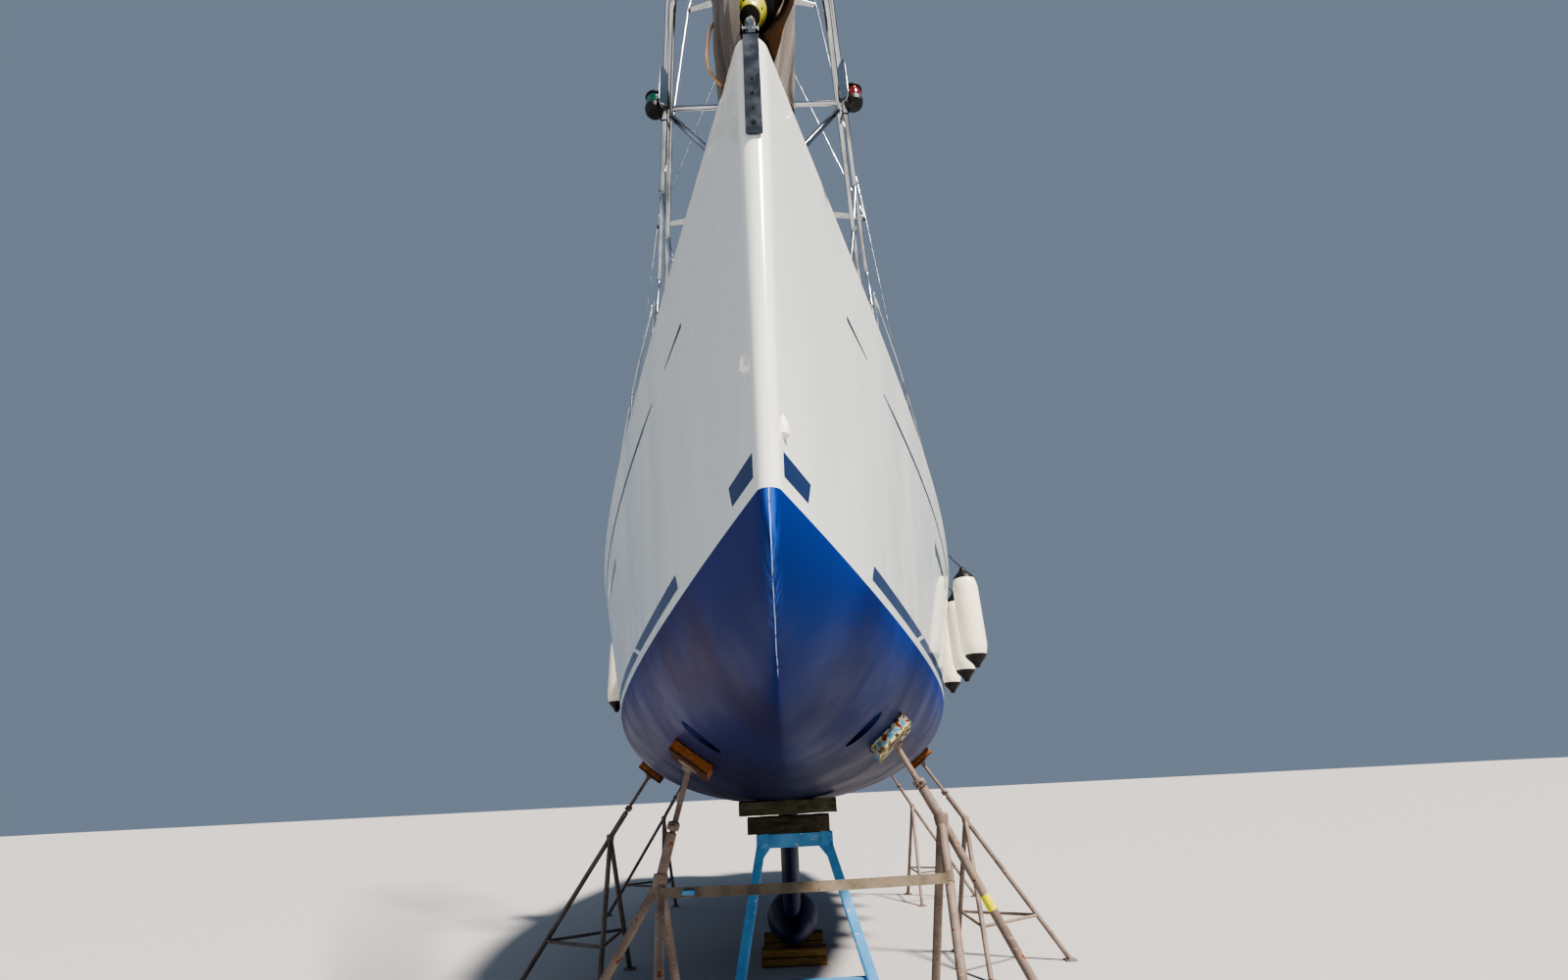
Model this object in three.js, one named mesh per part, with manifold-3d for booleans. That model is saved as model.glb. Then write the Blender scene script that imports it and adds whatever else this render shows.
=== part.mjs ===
// Sailing yacht ashore: hull, deck, keel, rig, steering and drive, on a bow trestle, keel blocks and
// six tripod props. Millimetres, +Z up, +X to port. Inside the group Y is the distance aft of the
// stem and Z the height above the ground; the group itself is shifted so that the middle of the
// length stands over the origin.
import * as THREE from "three";
import { mergeVertices } from "three/addons/utils/BufferGeometryUtils.js";
import Module from "manifold-3d";

const wasm = await Module();
wasm.setup();

// Driving dimensions
const LENGTH = 14000;
const MIDDLE = 6990;
const GAP = 0.3;
const CLEARANCE = 6;

// Hull form
const PAINT_Z = 2287;
const SHEER_LOW = 3567;
const SHEER_STEM = 3968;
const SHEER_DIP = 9900;
const DECK_BEAM = 2150;
const DECK_BEAM_AT = 8750;
const PAINT_BEAM = 1850;
const PAINT_BEAM_AT = 8800;
const STEM_RADIUS = { deck: 40, paint: 20 };
const STEM_EDGE = 3;
const ENTRY = { fuller: 20, within: 600 };
const BOTTOM_Z = 1500;
const BOTTOM_AT = 6200;
const SKIN = 60;
const STATIONS = [
  0, 20, 55, 130, 280, 550, 1000, 1600, 2400, 3300, 4400, 5600, 7000, 8400, 9800, 11200, 12600, 14100];
const BILGE_STEPS = 7;
const TRANSOM = [[14400, 1000], [13233, 4500], [15500, 4500], [15500, 1000]];

// Deck and coachroof
const DECK_ARC = [-1, -0.66, -0.33, 0, 0.33, 0.66, 1];
const DECK_EDGE = 50;
const DECK_CAMBER = 70;
const ROOF_Z = 4120;
const ROOF_FRONT = 3600;
const ROOF_FLAT = 6000;
const ROOF_AFT = 9200;
const ROOF_WALL = 40;
const ROOF_STATIONS = [3600, 4200, 4800, 5400, 6000, 7600, 9200];
const COAMING = { inside: 1150, outside: 1450, front: 9150, aft: 11900, rise: 300 };
const CABIN = { front: 3200, aft: 9160, sole: 1950 };
const SEAT = { half: 1150, front: 9300, aft: 11700, z: 3380 };
const WELL = { half: 420, front: 9350, aft: 11700, z: 2950 };
const HELM = { half: 1450, front: 11700, aft: 13330, z: 3000 };
const GATE = { half: 450, front: 13200, z: 2840 };
const PLATFORM = { half: 450, front: 13430, z: 2620 };
const LOCKER = { front: 700, aft: 1600, z: 3500 };
const LADDER_HINGE = new THREE.Vector3(0, 13975, 2700);
const COMPANION = { half: 320, front: 8300, sill: 3450 };

// Rig
const MAST = { at: 4900, atZ: 8457, rake: 0.0213, long: 120, wide: 80, top: 19600 };
const LOWER_SPREADER = { x: 1365, y: 5180, z: 8457 };
const UPPER_SPREADER = { x: 1030, y: 5280, z: 13145 };
const STAY_FOOT = new THREE.Vector3(0, 30, 4110);
const STAY_HEAD = new THREE.Vector3(0, 5010, 19200);
const CHAINPLATE = { x: 1750, y: 5450 };
const GOOSENECK = { y: 5030, z: 5150, lugEnd: 4992, vangZ: 4420 };
const BOOM_END = 10400;
const WIRE = 6;

// Keel, rudder and drive
const BULB = { front: 5950, aft: 8350, half: 270, z: 380, low: 150 };
const STOCK = { y: 12750, r: 40, bore: 46, top: 2750 };
const RUDDER_GAP = 34;
const SHAFT_FOOT = new THREE.Vector3(0, 8600, 1636);
const SHAFT_ANGLE = THREE.MathUtils.degToRad(9);
const SHAFT = { r: 16, bore: 22, length: 1780, prop: 1700, propR: 230 };
const TUNNEL = { y: 2000, z: 1867, r: 78 };

// Props that hold the hull: side, distance aft of the stem, height of the pad on the hull, how far out
// and down from it the legs meet, and how far out the outer foot stands from there
const TRIPODS = [
  { name: "tripod_fore_port", side: 1, at: 2580, z: 1875, reach: 245, drop: 445, span: 680 },
  { name: "tripod_fore_starboard", side: -1, at: 2570, z: 1810, reach: 175, drop: 600, span: 760 },
  { name: "tripod_middle_port", side: 1, at: 6300, z: 1880, reach: 420, drop: 620, span: 820 },
  { name: "tripod_middle_starboard", side: -1, at: 6300, z: 1880, reach: 420, drop: 620, span: 820 },
  { name: "tripod_aft_port", side: 1, at: 10600, z: 2010, reach: 420, drop: 700, span: 820 },
  { name: "tripod_aft_starboard", side: -1, at: 10600, z: 2010, reach: 420, drop: 700, span: 820 },
];
// Fenders: how far out from the deck edge, and each with its side and distance aft of the stem
const FENDER_OUT = 215;
const FENDERS = [
  ["fender_port_1", 1, 6200], ["fender_port_2", 1, 7300], ["fender_port_3", 1, 8400],
  ["fender_port_4", 1, 9500], ["fender_port_5", 1, 10600], ["fender_starboard", -1, 8700],
];

const paint = (color, roughness, metalness) =>
  new THREE.MeshStandardMaterial({ color, roughness, metalness });
const GELCOAT = paint(0xf2f1ec, 0.25, 0);
const DECK = paint(0xe9e7df, 0.6, 0);
const GLASS = paint(0x1b2026, 0.1, 0);
const KEEL = paint(0x1f3f9c, 0.6, 0);
const STEEL = paint(0xb9bcbf, 0.25, 1);
const ALUMINIUM = paint(0xc9cbcc, 0.4, 1);
const CANVAS = paint(0x75685a, 0.9, 0);
const BRONZE = paint(0x9a7b4a, 0.45, 1);
const PLASTIC = paint(0x1c1d20, 0.5, 0);
const RED = paint(0x8c1f1a, 0.3, 0);
const GREEN = paint(0x1d5a3a, 0.3, 0);
const TRESTLE = paint(0x4f9ad0, 0.6, 0.2);
const TIMBER = paint(0x4d3b2e, 0.9, 0);
const BLOCK = paint(0xb98a3e, 0.9, 0);
const PROP = paint(0x6f6763, 0.7, 0.6);
const FENDER = paint(0xe8e2cf, 0.5, 0);
const ENGINE = paint(0x8d9296, 0.5, 0.3);

// Solids and booleans

function volumeOf(positions, index) {
  const a = new THREE.Vector3();
  const b = new THREE.Vector3();
  const c = new THREE.Vector3();
  let sum = 0;
  for (let i = 0; i < index.length; i += 3) {
    a.fromArray(positions, 3 * index[i]);
    b.fromArray(positions, 3 * index[i + 1]);
    c.fromArray(positions, 3 * index[i + 2]);
    sum += a.dot(b.cross(c));
  }
  return sum / 6;
}

function solid(geometry, matrix = new THREE.Matrix4()) {
  const bare = geometry.clone();
  bare.deleteAttribute("normal");
  bare.deleteAttribute("uv");
  bare.applyMatrix4(matrix);
  const merged = mergeVertices(bare, 0.001);
  const vertProperties = new Float32Array(merged.attributes.position.array);
  const triVerts = new Uint32Array(merged.index.array);
  if (volumeOf(vertProperties, triVerts) < 0) {
    triVerts.reverse();
  }
  return new wasm.Manifold(new wasm.Mesh({ numProp: 3, vertProperties, triVerts }));
}

function surface(body) {
  const mesh = body.getMesh();
  const geometry = new THREE.BufferGeometry();
  geometry.setAttribute("position", new THREE.BufferAttribute(new Float32Array(mesh.vertProperties), 3));
  geometry.setIndex(new THREE.BufferAttribute(new Uint32Array(mesh.triVerts), 1));
  geometry.computeVertexNormals();
  return geometry;
}

const join = (...solids) => solids.reduce((whole, next) => whole.add(next));
const cut = (body, ...tools) => tools.reduce((whole, tool) => whole.subtract(tool), body);

function box(x0, x1, y0, y1, z0, z1) {
  const geometry = new THREE.BoxGeometry(x1 - x0, y1 - y0, z1 - z0);
  geometry.translate((x0 + x1) / 2, (y0 + y1) / 2, (z0 + z1) / 2);
  return solid(geometry);
}

// An outline pushed along one axis: the outline's pairs are (Y, Z) or (X, Y)
function slab(axis, outline, from, to) {
  const shape = new THREE.Shape(outline.map(([u, v]) => new THREE.Vector2(u, v)));
  const geometry = new THREE.ExtrudeGeometry(shape, { depth: to - from, bevelEnabled: false });
  const turn = {
    x: [0, 0, 1, from, 1, 0, 0, 0, 0, 1, 0, 0],
    z: [1, 0, 0, 0, 0, 1, 0, 0, 0, 0, 1, from],
  };
  return solid(geometry, new THREE.Matrix4().set(...turn[axis], 0, 0, 0, 1));
}

const point = (x, y, z) => new THREE.Vector3(x, y, z);

// The placement that takes the Y axis to a line from one point towards another
function along(from, to) {
  const direction = to.clone().sub(from).normalize();
  const turn = new THREE.Quaternion().setFromUnitVectors(point(0, 1, 0), direction);
  return new THREE.Matrix4().compose(from, turn, point(1, 1, 1));
}

function rod(from, to, radius, sides = 6, endRadius = radius) {
  const height = from.distanceTo(to);
  const geometry = new THREE.CylinderGeometry(endRadius, radius, height, sides);
  geometry.translate(0, height / 2, 0);
  return solid(geometry, along(from, to));
}

const rods = (points, radius, sides) =>
  join(...points.slice(1).map((end, i) => rod(points[i], end, radius, sides)));

function tube(points, radius, steps, sides = 6) {
  const angles = Array.from({ length: sides }, (_, i) => (2 * Math.PI * i) / sides);
  const section = new THREE.Shape(
    angles.map((angle) => new THREE.Vector2(radius * Math.cos(angle), radius * Math.sin(angle))));
  const extrudePath = new THREE.CatmullRomCurve3(points, false, "centripetal");
  return solid(new THREE.ExtrudeGeometry(section, { steps, bevelEnabled: false, extrudePath }));
}

// A turned body: the profile's pairs are (radius, distance along the axis)
function turned(profile, from, to, sides = 16) {
  const geometry = new THREE.LatheGeometry(profile.map(([r, h]) => new THREE.Vector2(r, h)), sides);
  return solid(geometry, along(from, to));
}

// A skin through rings of equal length, with flat ends in the plane across one axis
function loft(rings, across = "y") {
  const count = rings[0].length;
  const plane = { x: [1, 2], y: [0, 2], z: [0, 1] }[across];
  const index = [];
  for (let i = 0; i + 1 < rings.length; i++) {
    for (let j = 0; j < count; j++) {
      const here = i * count + j;
      const next = i * count + ((j + 1) % count);
      index.push(here, next, next + count, here, next + count, here + count);
    }
  }
  const endFaces = (ring, start, outward) => {
    const flat = ring.map((p) => new THREE.Vector2(p[plane[0]], p[plane[1]]));
    const clockwise = THREE.ShapeUtils.isClockWise(flat);
    for (const [a, b, c] of THREE.ShapeUtils.triangulateShape(flat, [])) {
      const turnsBack = THREE.ShapeUtils.isClockWise([flat[a], flat[b], flat[c]]) !== clockwise;
      const ordered = turnsBack === outward ? [c, b, a] : [a, b, c];
      index.push(...ordered.map((k) => start + k));
    }
  };
  endFaces(rings[0], 0, false);
  endFaces(rings[rings.length - 1], (rings.length - 1) * count, true);
  const geometry = new THREE.BufferGeometry();
  geometry.setAttribute("position", new THREE.BufferAttribute(new Float32Array(rings.flat(2)), 3));
  geometry.setIndex(index);
  return solid(geometry);
}

const flip = (body) => body.mirror([1, 0, 0]);

// Hull form, as functions of the distance aft of the stem

const sheerZ = (y) => SHEER_LOW + (SHEER_STEM - SHEER_LOW) * (1 - y / SHEER_DIP) ** 2;

const noseHalf = (y, radius) => STEM_EDGE + radius * Math.sqrt(1 - (1 - Math.min(y / radius, 1)) ** 2);

function halfBeam(y, greatest, at, aftLoss) {
  const growing = greatest * Math.sin((Math.PI / 2) * Math.min(y / at, 1));
  const past = Math.max(0, (y - at) / (LENGTH - at));
  return growing * (1 - aftLoss * past * past);
}

const deckHalf = (y) => halfBeam(y, DECK_BEAM, DECK_BEAM_AT, 0.2) + noseHalf(y, STEM_RADIUS.deck);
const paintHalf = (y) => halfBeam(y, PAINT_BEAM, PAINT_BEAM_AT, 0.25) + noseHalf(y, STEM_RADIUS.paint)
  + ENTRY.fuller * (1 - Math.exp(-y / ENTRY.within));

function keelZ(y) {
  if (y < BOTTOM_AT) {
    return BOTTOM_Z + 430 * (1 - y / BOTTOM_AT) ** 2.2 + 200 * Math.exp(-y / 250);
  }
  return BOTTOM_Z + 720 * ((y - BOTTOM_AT) / (LENGTH - BOTTOM_AT)) ** 1.9;
}

const fullness = (y) => 1.3 + 1.05 * (1 - Math.exp(-y / 4500));

function wallHalf(y, z) {
  const share = (z - PAINT_Z) / (sheerZ(y) - PAINT_Z);
  return paintHalf(y) + (deckHalf(y) - paintHalf(y)) * share;
}

function hullHalf(y, z) {
  if (z >= PAINT_Z) {
    return wallHalf(y, z);
  }
  const n = fullness(y);
  const depth = Math.min(1, (PAINT_Z - z) / (PAINT_Z - keelZ(y)));
  return wallHalf(y, z) * (1 - depth ** n) ** (1 / n);
}

function hullRing(y, inset, topZ) {
  const n = fullness(y);
  const low = keelZ(y) + inset;
  const half = [[wallHalf(y, topZ) - inset, topZ]];
  for (let i = BILGE_STEPS; i > 0; i--) {
    const angle = (Math.PI / 2) * (i / BILGE_STEPS);
    const z = PAINT_Z - (PAINT_Z - low) * Math.cos(angle) ** (2 / n);
    half.push([(wallHalf(y, z) - inset) * Math.sin(angle) ** (2 / n), z]);
  }
  const starboard = half.map(([x, z]) => [-x, y, z]);
  const port = half.map(([x, z]) => [x, y, z]).reverse();
  return [...starboard, [0, y, low], ...port];
}

const hullBody = (inset, rise, stations) =>
  loft(stations.map((y) => hullRing(y, inset, sheerZ(y) + rise)));

const transomCut = (offset = 0) =>
  slab("x", TRANSOM.map(([y, z]) => [y + offset, z]), -3000, 3000);

// Heights of the deck and coachroof on the centreline
const camber = (y) => DECK_CAMBER * Math.min(1, deckHalf(y) / DECK_BEAM);
const deckTop = (y) => sheerZ(y) + DECK_EDGE + camber(y);

function roofRise(y) {
  const share = THREE.MathUtils.clamp((y - ROOF_FRONT) / (ROOF_FLAT - ROOF_FRONT), 0, 1);
  return share * share * (3 - 2 * share);
}

const roofTop = (y) => deckTop(y) + (ROOF_Z - deckTop(y)) * roofRise(y);
const roofHalf = (y) => 560 + 770 * Math.sin((Math.PI / 2) * ((y - ROOF_FRONT) / (ROOF_AFT - ROOF_FRONT)));
const mastY = (z) => MAST.at + (z - MAST.atZ) * MAST.rake;
const stayAt = (share) => STAY_FOOT.clone().lerp(STAY_HEAD, share);
const stayLength = STAY_FOOT.distanceTo(STAY_HEAD);
const stayPoint = (distance) => stayAt(distance / stayLength);
const shaftPoint = (distance) => point(0, SHAFT_FOOT.y + distance * Math.cos(SHAFT_ANGLE),
  SHAFT_FOOT.z - distance * Math.sin(SHAFT_ANGLE));

const hullSkin = hullBody(-GAP, 0, STATIONS);

const group = new THREE.Group();
group.position.set(0, -MIDDLE, 0);

function add(name, body, material) {
  const mesh = new THREE.Mesh(surface(body), material);
  mesh.name = name;
  group.add(mesh);
}

// Hull: a tub over the cabin, solid below its sole and behind the cockpit
const hullWindow = (grow, x0, x1) => slab("x", [
  [3390 - grow, 3270], [3450, 3345 + grow], [4700, 3330 + grow], [4760 + grow, 3270],
  [4700, 3215 - grow], [3450, 3215 - grow]], x0, x1);

function hull() {
  const cabinStations = [CABIN.front, ...STATIONS.filter((y) => y > CABIN.front && y < CABIN.aft), CABIN.aft];
  const cabin = hullBody(SKIN, 200, cabinStations).intersect(box(-3000, 3000, 3000, 9500, CABIN.sole, 5000));
  const lockerOutline = lidOutline(-40);
  return cut(hullBody(0, 0, STATIONS), transomCut(), cabin,
    box(-SEAT.half, SEAT.half, SEAT.front, SEAT.aft, SEAT.z, 5000),
    box(-WELL.half, WELL.half, WELL.front, WELL.aft + 1, WELL.z, 5000),
    box(-HELM.half, HELM.half, HELM.front, HELM.aft, HELM.z, 5000),
    box(-GATE.half, GATE.half, GATE.front, 15000, GATE.z, 5000),
    box(-PLATFORM.half, PLATFORM.half, PLATFORM.front, 15000, PLATFORM.z, 5000),
    box(-COMPANION.half, COMPANION.half, 9000, SEAT.front + 1, COMPANION.sill, 5000),
    slab("z", lockerOutline, LOCKER.z, 5000),
    rod(point(-900, TUNNEL.y, TUNNEL.z), point(900, TUNNEL.y, TUNNEL.z), TUNNEL.r, 24),
    rod(point(0, STOCK.y, 1500), point(0, STOCK.y, STOCK.top + 50), STOCK.bore, 16),
    rod(shaftPoint(-20), shaftPoint(1200), SHAFT.bore, 12),
    hullWindow(0, 600, 2500), flip(hullWindow(0, 600, 2500)));
}

// Anchor locker lid and the hole under it, narrower by a margin all round
const lidOutline = (margin) => [
  [-190 - margin, LOCKER.front - margin], [190 + margin, LOCKER.front - margin],
  [430 + margin, LOCKER.aft + margin], [-430 - margin, LOCKER.aft + margin]];

function deckPlate(lift) {
  return loft(STATIONS.map((y) => {
    const half = deckHalf(y) + lift;
    const low = sheerZ(y) + GAP;
    const edge = sheerZ(y) + DECK_EDGE + lift;
    const arc = DECK_ARC.map((u) => [u * half, y, edge + camber(y) * (1 - u * u)]);
    return [[-half, y, low], ...arc, [half, y, low]];
  }));
}

// What stands on deck is cut off just above it
const deckSkin = deckPlate(GAP);

function roofBody(inset, stations, footDrop) {
  return loft(stations.map((y) => {
    const half = roofHalf(y) - inset;
    const top = roofTop(y) - inset;
    const rise = Math.max(0.03, roofRise(y));
    const foot = sheerZ(y) - footDrop;
    const side = [[half, foot], [half, deckTop(y) - 45], [half - 110 * rise, top - 60 * rise],
      [half - 210 * rise, top - 18 * rise]];
    const port = side.map(([x, z]) => [x, y, z]);
    return [...side.map(([x, z]) => [-x, y, z]), [0, y, top], ...port.reverse()];
  }));
}

// Coachroof window: a long lozenge that follows the roof line
const roofWindow = (grow, x0, x1) => slab("x", [
  [4750 - grow, 3862], [5500, 3975 + grow], [8300, 4015 + grow], [8480 + grow, 3960],
  [8300, 3850 - grow], [5100, 3850 - grow]], x0, x1);

const hatchHole = (y0, y1, half, grow) => box(-half - grow, half + grow, y0 - grow, y1 + grow, 3300, 4400);

function deck() {
  const innerStations = [4200, 4800, 5400, 6000, 7600, ROOF_AFT - ROOF_WALL];
  const roof = roofBody(0, ROOF_STATIONS, -10);
  const mastStep = box(-170, 170, 4590, 5030, roofTop(4590) - 60, roofTop(5030) + 12);
  const coaming = slab("x", [
    [COAMING.front, sheerZ(COAMING.front) + 10], [COAMING.front, deckTop(COAMING.front) + COAMING.rise],
    [COAMING.aft - 500, deckTop(COAMING.aft) + COAMING.rise - 60], [COAMING.aft, deckTop(COAMING.aft) + 20],
    [COAMING.aft, sheerZ(COAMING.aft) + 10]], COAMING.inside, COAMING.outside);
  const whole = join(deckPlate(0), roof, mastStep, coaming, flip(coaming));
  const openDeck = cut(whole, roofBody(ROOF_WALL, innerStations, 200), transomCut(),
    box(-SEAT.half, SEAT.half, ROOF_AFT, SEAT.aft, 3300, 3900).subtract(
      box(-3000, 3000, 9000, SEAT.front, 3000, 3700)),
    box(-HELM.half, HELM.half, HELM.front - 1, HELM.aft, 3300, 4400),
    box(-GATE.half, GATE.half, GATE.front, 15000, 3300, 4400),
    box(-COMPANION.half, COMPANION.half, COMPANION.front, ROOF_AFT + 60, COMPANION.sill, 4400),
    roofWindow(0, 500, 2000), flip(roofWindow(0, 500, 2000)),
    slab("z", lidOutline(CLEARANCE), 3300, 4400),
    hatchHole(2300, 2850, 280, CLEARANCE), hatchHole(6250, 6800, 260, CLEARANCE));
  return openDeck.decompose().sort((a, b) => b.volume() - a.volume())[0];
}

// Glass set in the walls, a little behind the outer face
function roofPane() {
  const inside = roofBody(16, [3500, ...ROOF_STATIONS.slice(1, -1), 9400], 200);
  return roofBody(8, ROOF_STATIONS, 100).subtract(inside).intersect(roofWindow(-2, 500, 2000));
}

function hullPane() {
  const stations = [3000, 3300, 4400, 5600];
  const sheet = hullBody(6, 0, stations).subtract(hullBody(14, 10, [2900, ...stations.slice(1, -1), 5700]));
  return sheet.intersect(hullWindow(-2, 600, 2500));
}

// Foil section in the plane of the water, thickest a third of the way aft
function foil(x, y, z, chord, thick) {
  const shares = [0, 0.06, 0.3, 0.65, 1];
  const widths = [0, 0.55, 1, 0.7, 0.05];
  const port = shares.map((share, i) => [x + (thick / 2) * widths[i], y + chord * share, z]);
  const starboard = port.slice(1).map((corner) => [2 * x - corner[0], corner[1], z]);
  return [...port, ...starboard.reverse()];
}

function keel() {
  const fin = loft([foil(0, 5900, 1650, 1900, 200), foil(0, 6060, 1000, 1640, 190),
    foil(0, 6200, 380, 1450, 180)], "z");
  const bulbSizes = [
    [0, 0.08], [0.05, 0.42], [0.14, 0.7], [0.28, 0.93], [0.45, 1], [0.65, 0.85], [0.85, 0.45], [1, 0.06]];
  const bulbRings = bulbSizes.map(([share, size]) => {
    const y = BULB.front + (BULB.aft - BULB.front) * share;
    return Array.from({ length: 14 }, (_, i) => {
      const angle = (2 * Math.PI * i) / 14;
      return [BULB.half * size * Math.cos(angle), y, BULB.z + 230 * size * Math.sin(angle)];
    });
  });
  const bulb = loft(bulbRings).subtract(box(-500, 500, 5000, 9000, 0, BULB.low + GAP));
  return cut(join(fin, bulb), hullSkin);
}

function rudder() {
  const blade = loft([foil(0, 12560, 2062, 780, 130), foil(0, 12570, 1900, 760, 128),
    foil(0, 12610, 1300, 640, 110), foil(0, 12640, 720, 480, 80)], "z");
  const clearOfHull = [12300, 12750, 13200, 13600].map((y) => [y, keelZ(y) - RUDDER_GAP]);
  const underHull = slab("x", [...clearOfHull, [13600, 3000], [12300, 3000]], -300, 300);
  const stock = rod(point(0, STOCK.y, 1000), point(0, STOCK.y, STOCK.top), STOCK.r, 16);
  return join(blade.subtract(underHull), stock);
}

// A three-bladed screw on an axis, its blades set at a pitch
function screw(from, to, hub, hubLength, radius, blades, chord, pitch) {
  const place = along(from, to);
  const boss = new THREE.CylinderGeometry(hub * 0.75, hub, hubLength, 10);
  boss.translate(0, hubLength / 2, 0);
  const parts = [solid(boss, place)];
  for (let i = 0; i < blades; i++) {
    const blade = new THREE.ExtrudeGeometry(new THREE.Shape([
      [hub * 0.5, -chord * 0.25], [radius * 0.55, -chord * 0.5], [radius * 0.92, -chord * 0.36], [radius, 0],
      [radius * 0.92, chord * 0.36], [radius * 0.55, chord * 0.5], [hub * 0.5, chord * 0.25],
    ].map(([u, v]) => new THREE.Vector2(u, v))), { depth: radius * 0.035, bevelEnabled: false });
    blade.translate(0, 0, -radius * 0.0175);
    blade.rotateX(Math.PI / 2 + pitch);
    blade.rotateY((2 * Math.PI * i) / blades);
    blade.translate(0, hubLength * 0.45, 0);
    parts.push(solid(blade, place));
  }
  return join(...parts);
}

function propeller() {
  return join(rod(shaftPoint(0), shaftPoint(SHAFT.length), SHAFT.r, 12),
    screw(shaftPoint(SHAFT.prop - 60), shaftPoint(SHAFT.prop), 42, 120, SHAFT.propR, 3, 150, 0.5),
    turned([[0, 0], [40, 0], [30, 40], [0, 70]], shaftPoint(SHAFT.prop + 59),
      shaftPoint(SHAFT.prop + 100), 10));
}

function shaftBracket() {
  const middle = shaftPoint(1450);
  const barrel = rod(shaftPoint(1390), shaftPoint(1510), 36, 12);
  const strut = loft([foil(0, middle.y - 60, middle.z, 120, 24),
    foil(0, middle.y - 60, 2000, 120, 24)], "z");
  return cut(join(barrel, strut), rod(shaftPoint(1300), shaftPoint(1600), SHAFT.r + 5, 12), hullSkin);
}

function thrusterLeg() {
  const tunnel = rod(point(-200, TUNNEL.y, TUNNEL.z), point(200, TUNNEL.y, TUNNEL.z), TUNNEL.r - GAP, 24);
  const strut = loft([foil(0, TUNNEL.y - 30, TUNNEL.z, 60, 22),
    foil(0, TUNNEL.y - 30, TUNNEL.z + 120, 60, 22)], "z");
  const pod = rod(point(-60, TUNNEL.y, TUNNEL.z), point(30, TUNNEL.y, TUNNEL.z), 26, 12);
  return join(strut.intersect(tunnel), pod);
}

const thrusterPropeller = () =>
  screw(point(36, TUNNEL.y, TUNNEL.z), point(90, TUNNEL.y, TUNNEL.z), 26, 45, TUNNEL.r - 6, 4, 60, 0.6);

// Bow: strap down the stem with a plate on deck and the tang of the forestay
const STRAP_HALF = 28;

function stemFitting() {
  const top = deckTop(60) + GAP;
  const strap = slab("x", [[-12, 3532], [-STEM_EDGE, 3524], [-2, top - 1], [-2, top], [330, top + 1],
    [330, top + 9], [-12, top + 9]], -STRAP_HALF, STRAP_HALF);
  const tang = slab("x", [[-10, top + 5], [110, top + 5], [58, 4140], [6, 4140]], -9, 9);
  const toggle = rod(stayPoint(0), stayPoint(140), 14, 8);
  return join(cut(strap, hullSkin, deckSkin), tang, toggle);
}

// Pulpit: top rail and middle rail on each side in one loop, diagonal front legs, aft legs, cross tube
const RAIL = { r: 13, topZ: 4620, midZ: 4300 };
const pulpitX = (y) => 293 + 0.196 * y;
const midRailX = (y) => 278 + 0.178 * y;

function pulpitSide() {
  const footZ = (y) => sheerZ(y) + DECK_EDGE - 6;
  const loop = [point(midRailX(1700), 1700, RAIL.midZ), point(midRailX(900), 900, RAIL.midZ),
    point(midRailX(150), 150, RAIL.midZ), point(midRailX(40), 50, RAIL.midZ + 60),
    point(pulpitX(60) + 4, 60, RAIL.topZ - 70), point(pulpitX(160), 160, RAIL.topZ),
    point(pulpitX(900), 900, RAIL.topZ), point(pulpitX(1760), 1760, RAIL.topZ),
    point(pulpitX(1850) + 4, 1850, RAIL.topZ - 70), point(deckHalf(1850) - 80, 1850, RAIL.midZ)];
  const base = (x, y) => rod(point(x, y, footZ(y)), point(x, y, footZ(y) + 24), 34, 6);
  return join(tube(loop, RAIL.r, 26), rod(point(deckHalf(1850) - 80, 1850, RAIL.midZ + 1),
    point(deckHalf(1850) - 65, 1850, footZ(1850) + 4), RAIL.r), base(deckHalf(1850) - 65, 1850),
    rod(point(midRailX(1700), 1699, RAIL.midZ), point(deckHalf(1850) - 78, 1850, RAIL.midZ), RAIL.r),
    rod(point(midRailX(500), 500, RAIL.midZ), point(168, 450, footZ(450) + 4), RAIL.r), base(168, 450),
    rod(point(pulpitX(1200), 1200, RAIL.topZ), point(midRailX(1200), 1200, RAIL.midZ), RAIL.r),
    rod(point(midRailX(1200), 1200, RAIL.midZ), point(deckHalf(1200) - 70, 1200, footZ(1200) + 4), RAIL.r),
    base(deckHalf(1200) - 70, 1200));
}

function pulpit() {
  const cross = rod(point(-midRailX(450), 470, RAIL.midZ), point(midRailX(450), 470, RAIL.midZ), RAIL.r - 1);
  return cut(join(pulpitSide(), flip(pulpitSide()), cross), deckSkin);
}

const bowLight = () => turned([[0, 0], [42, 8], [48, 40], [40, 78], [0, 92]],
  point(midRailX(450) + 64, 450, RAIL.midZ - 46), point(midRailX(450) + 64, 450, 5000), 12);

// Lifelines: stanchions, two wires, and half of the pushpit round the stern
const STANCHIONS = [2900, 4600, 6400, 8200, 10000, 11800];
const railX = (y) => deckHalf(y) - 70;
const deckZ = (x, y) => sheerZ(y) + DECK_EDGE + camber(y) * (1 - (x / deckHalf(y)) ** 2);
const railFoot = (y) => deckZ(railX(y), y) - 10;

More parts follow.
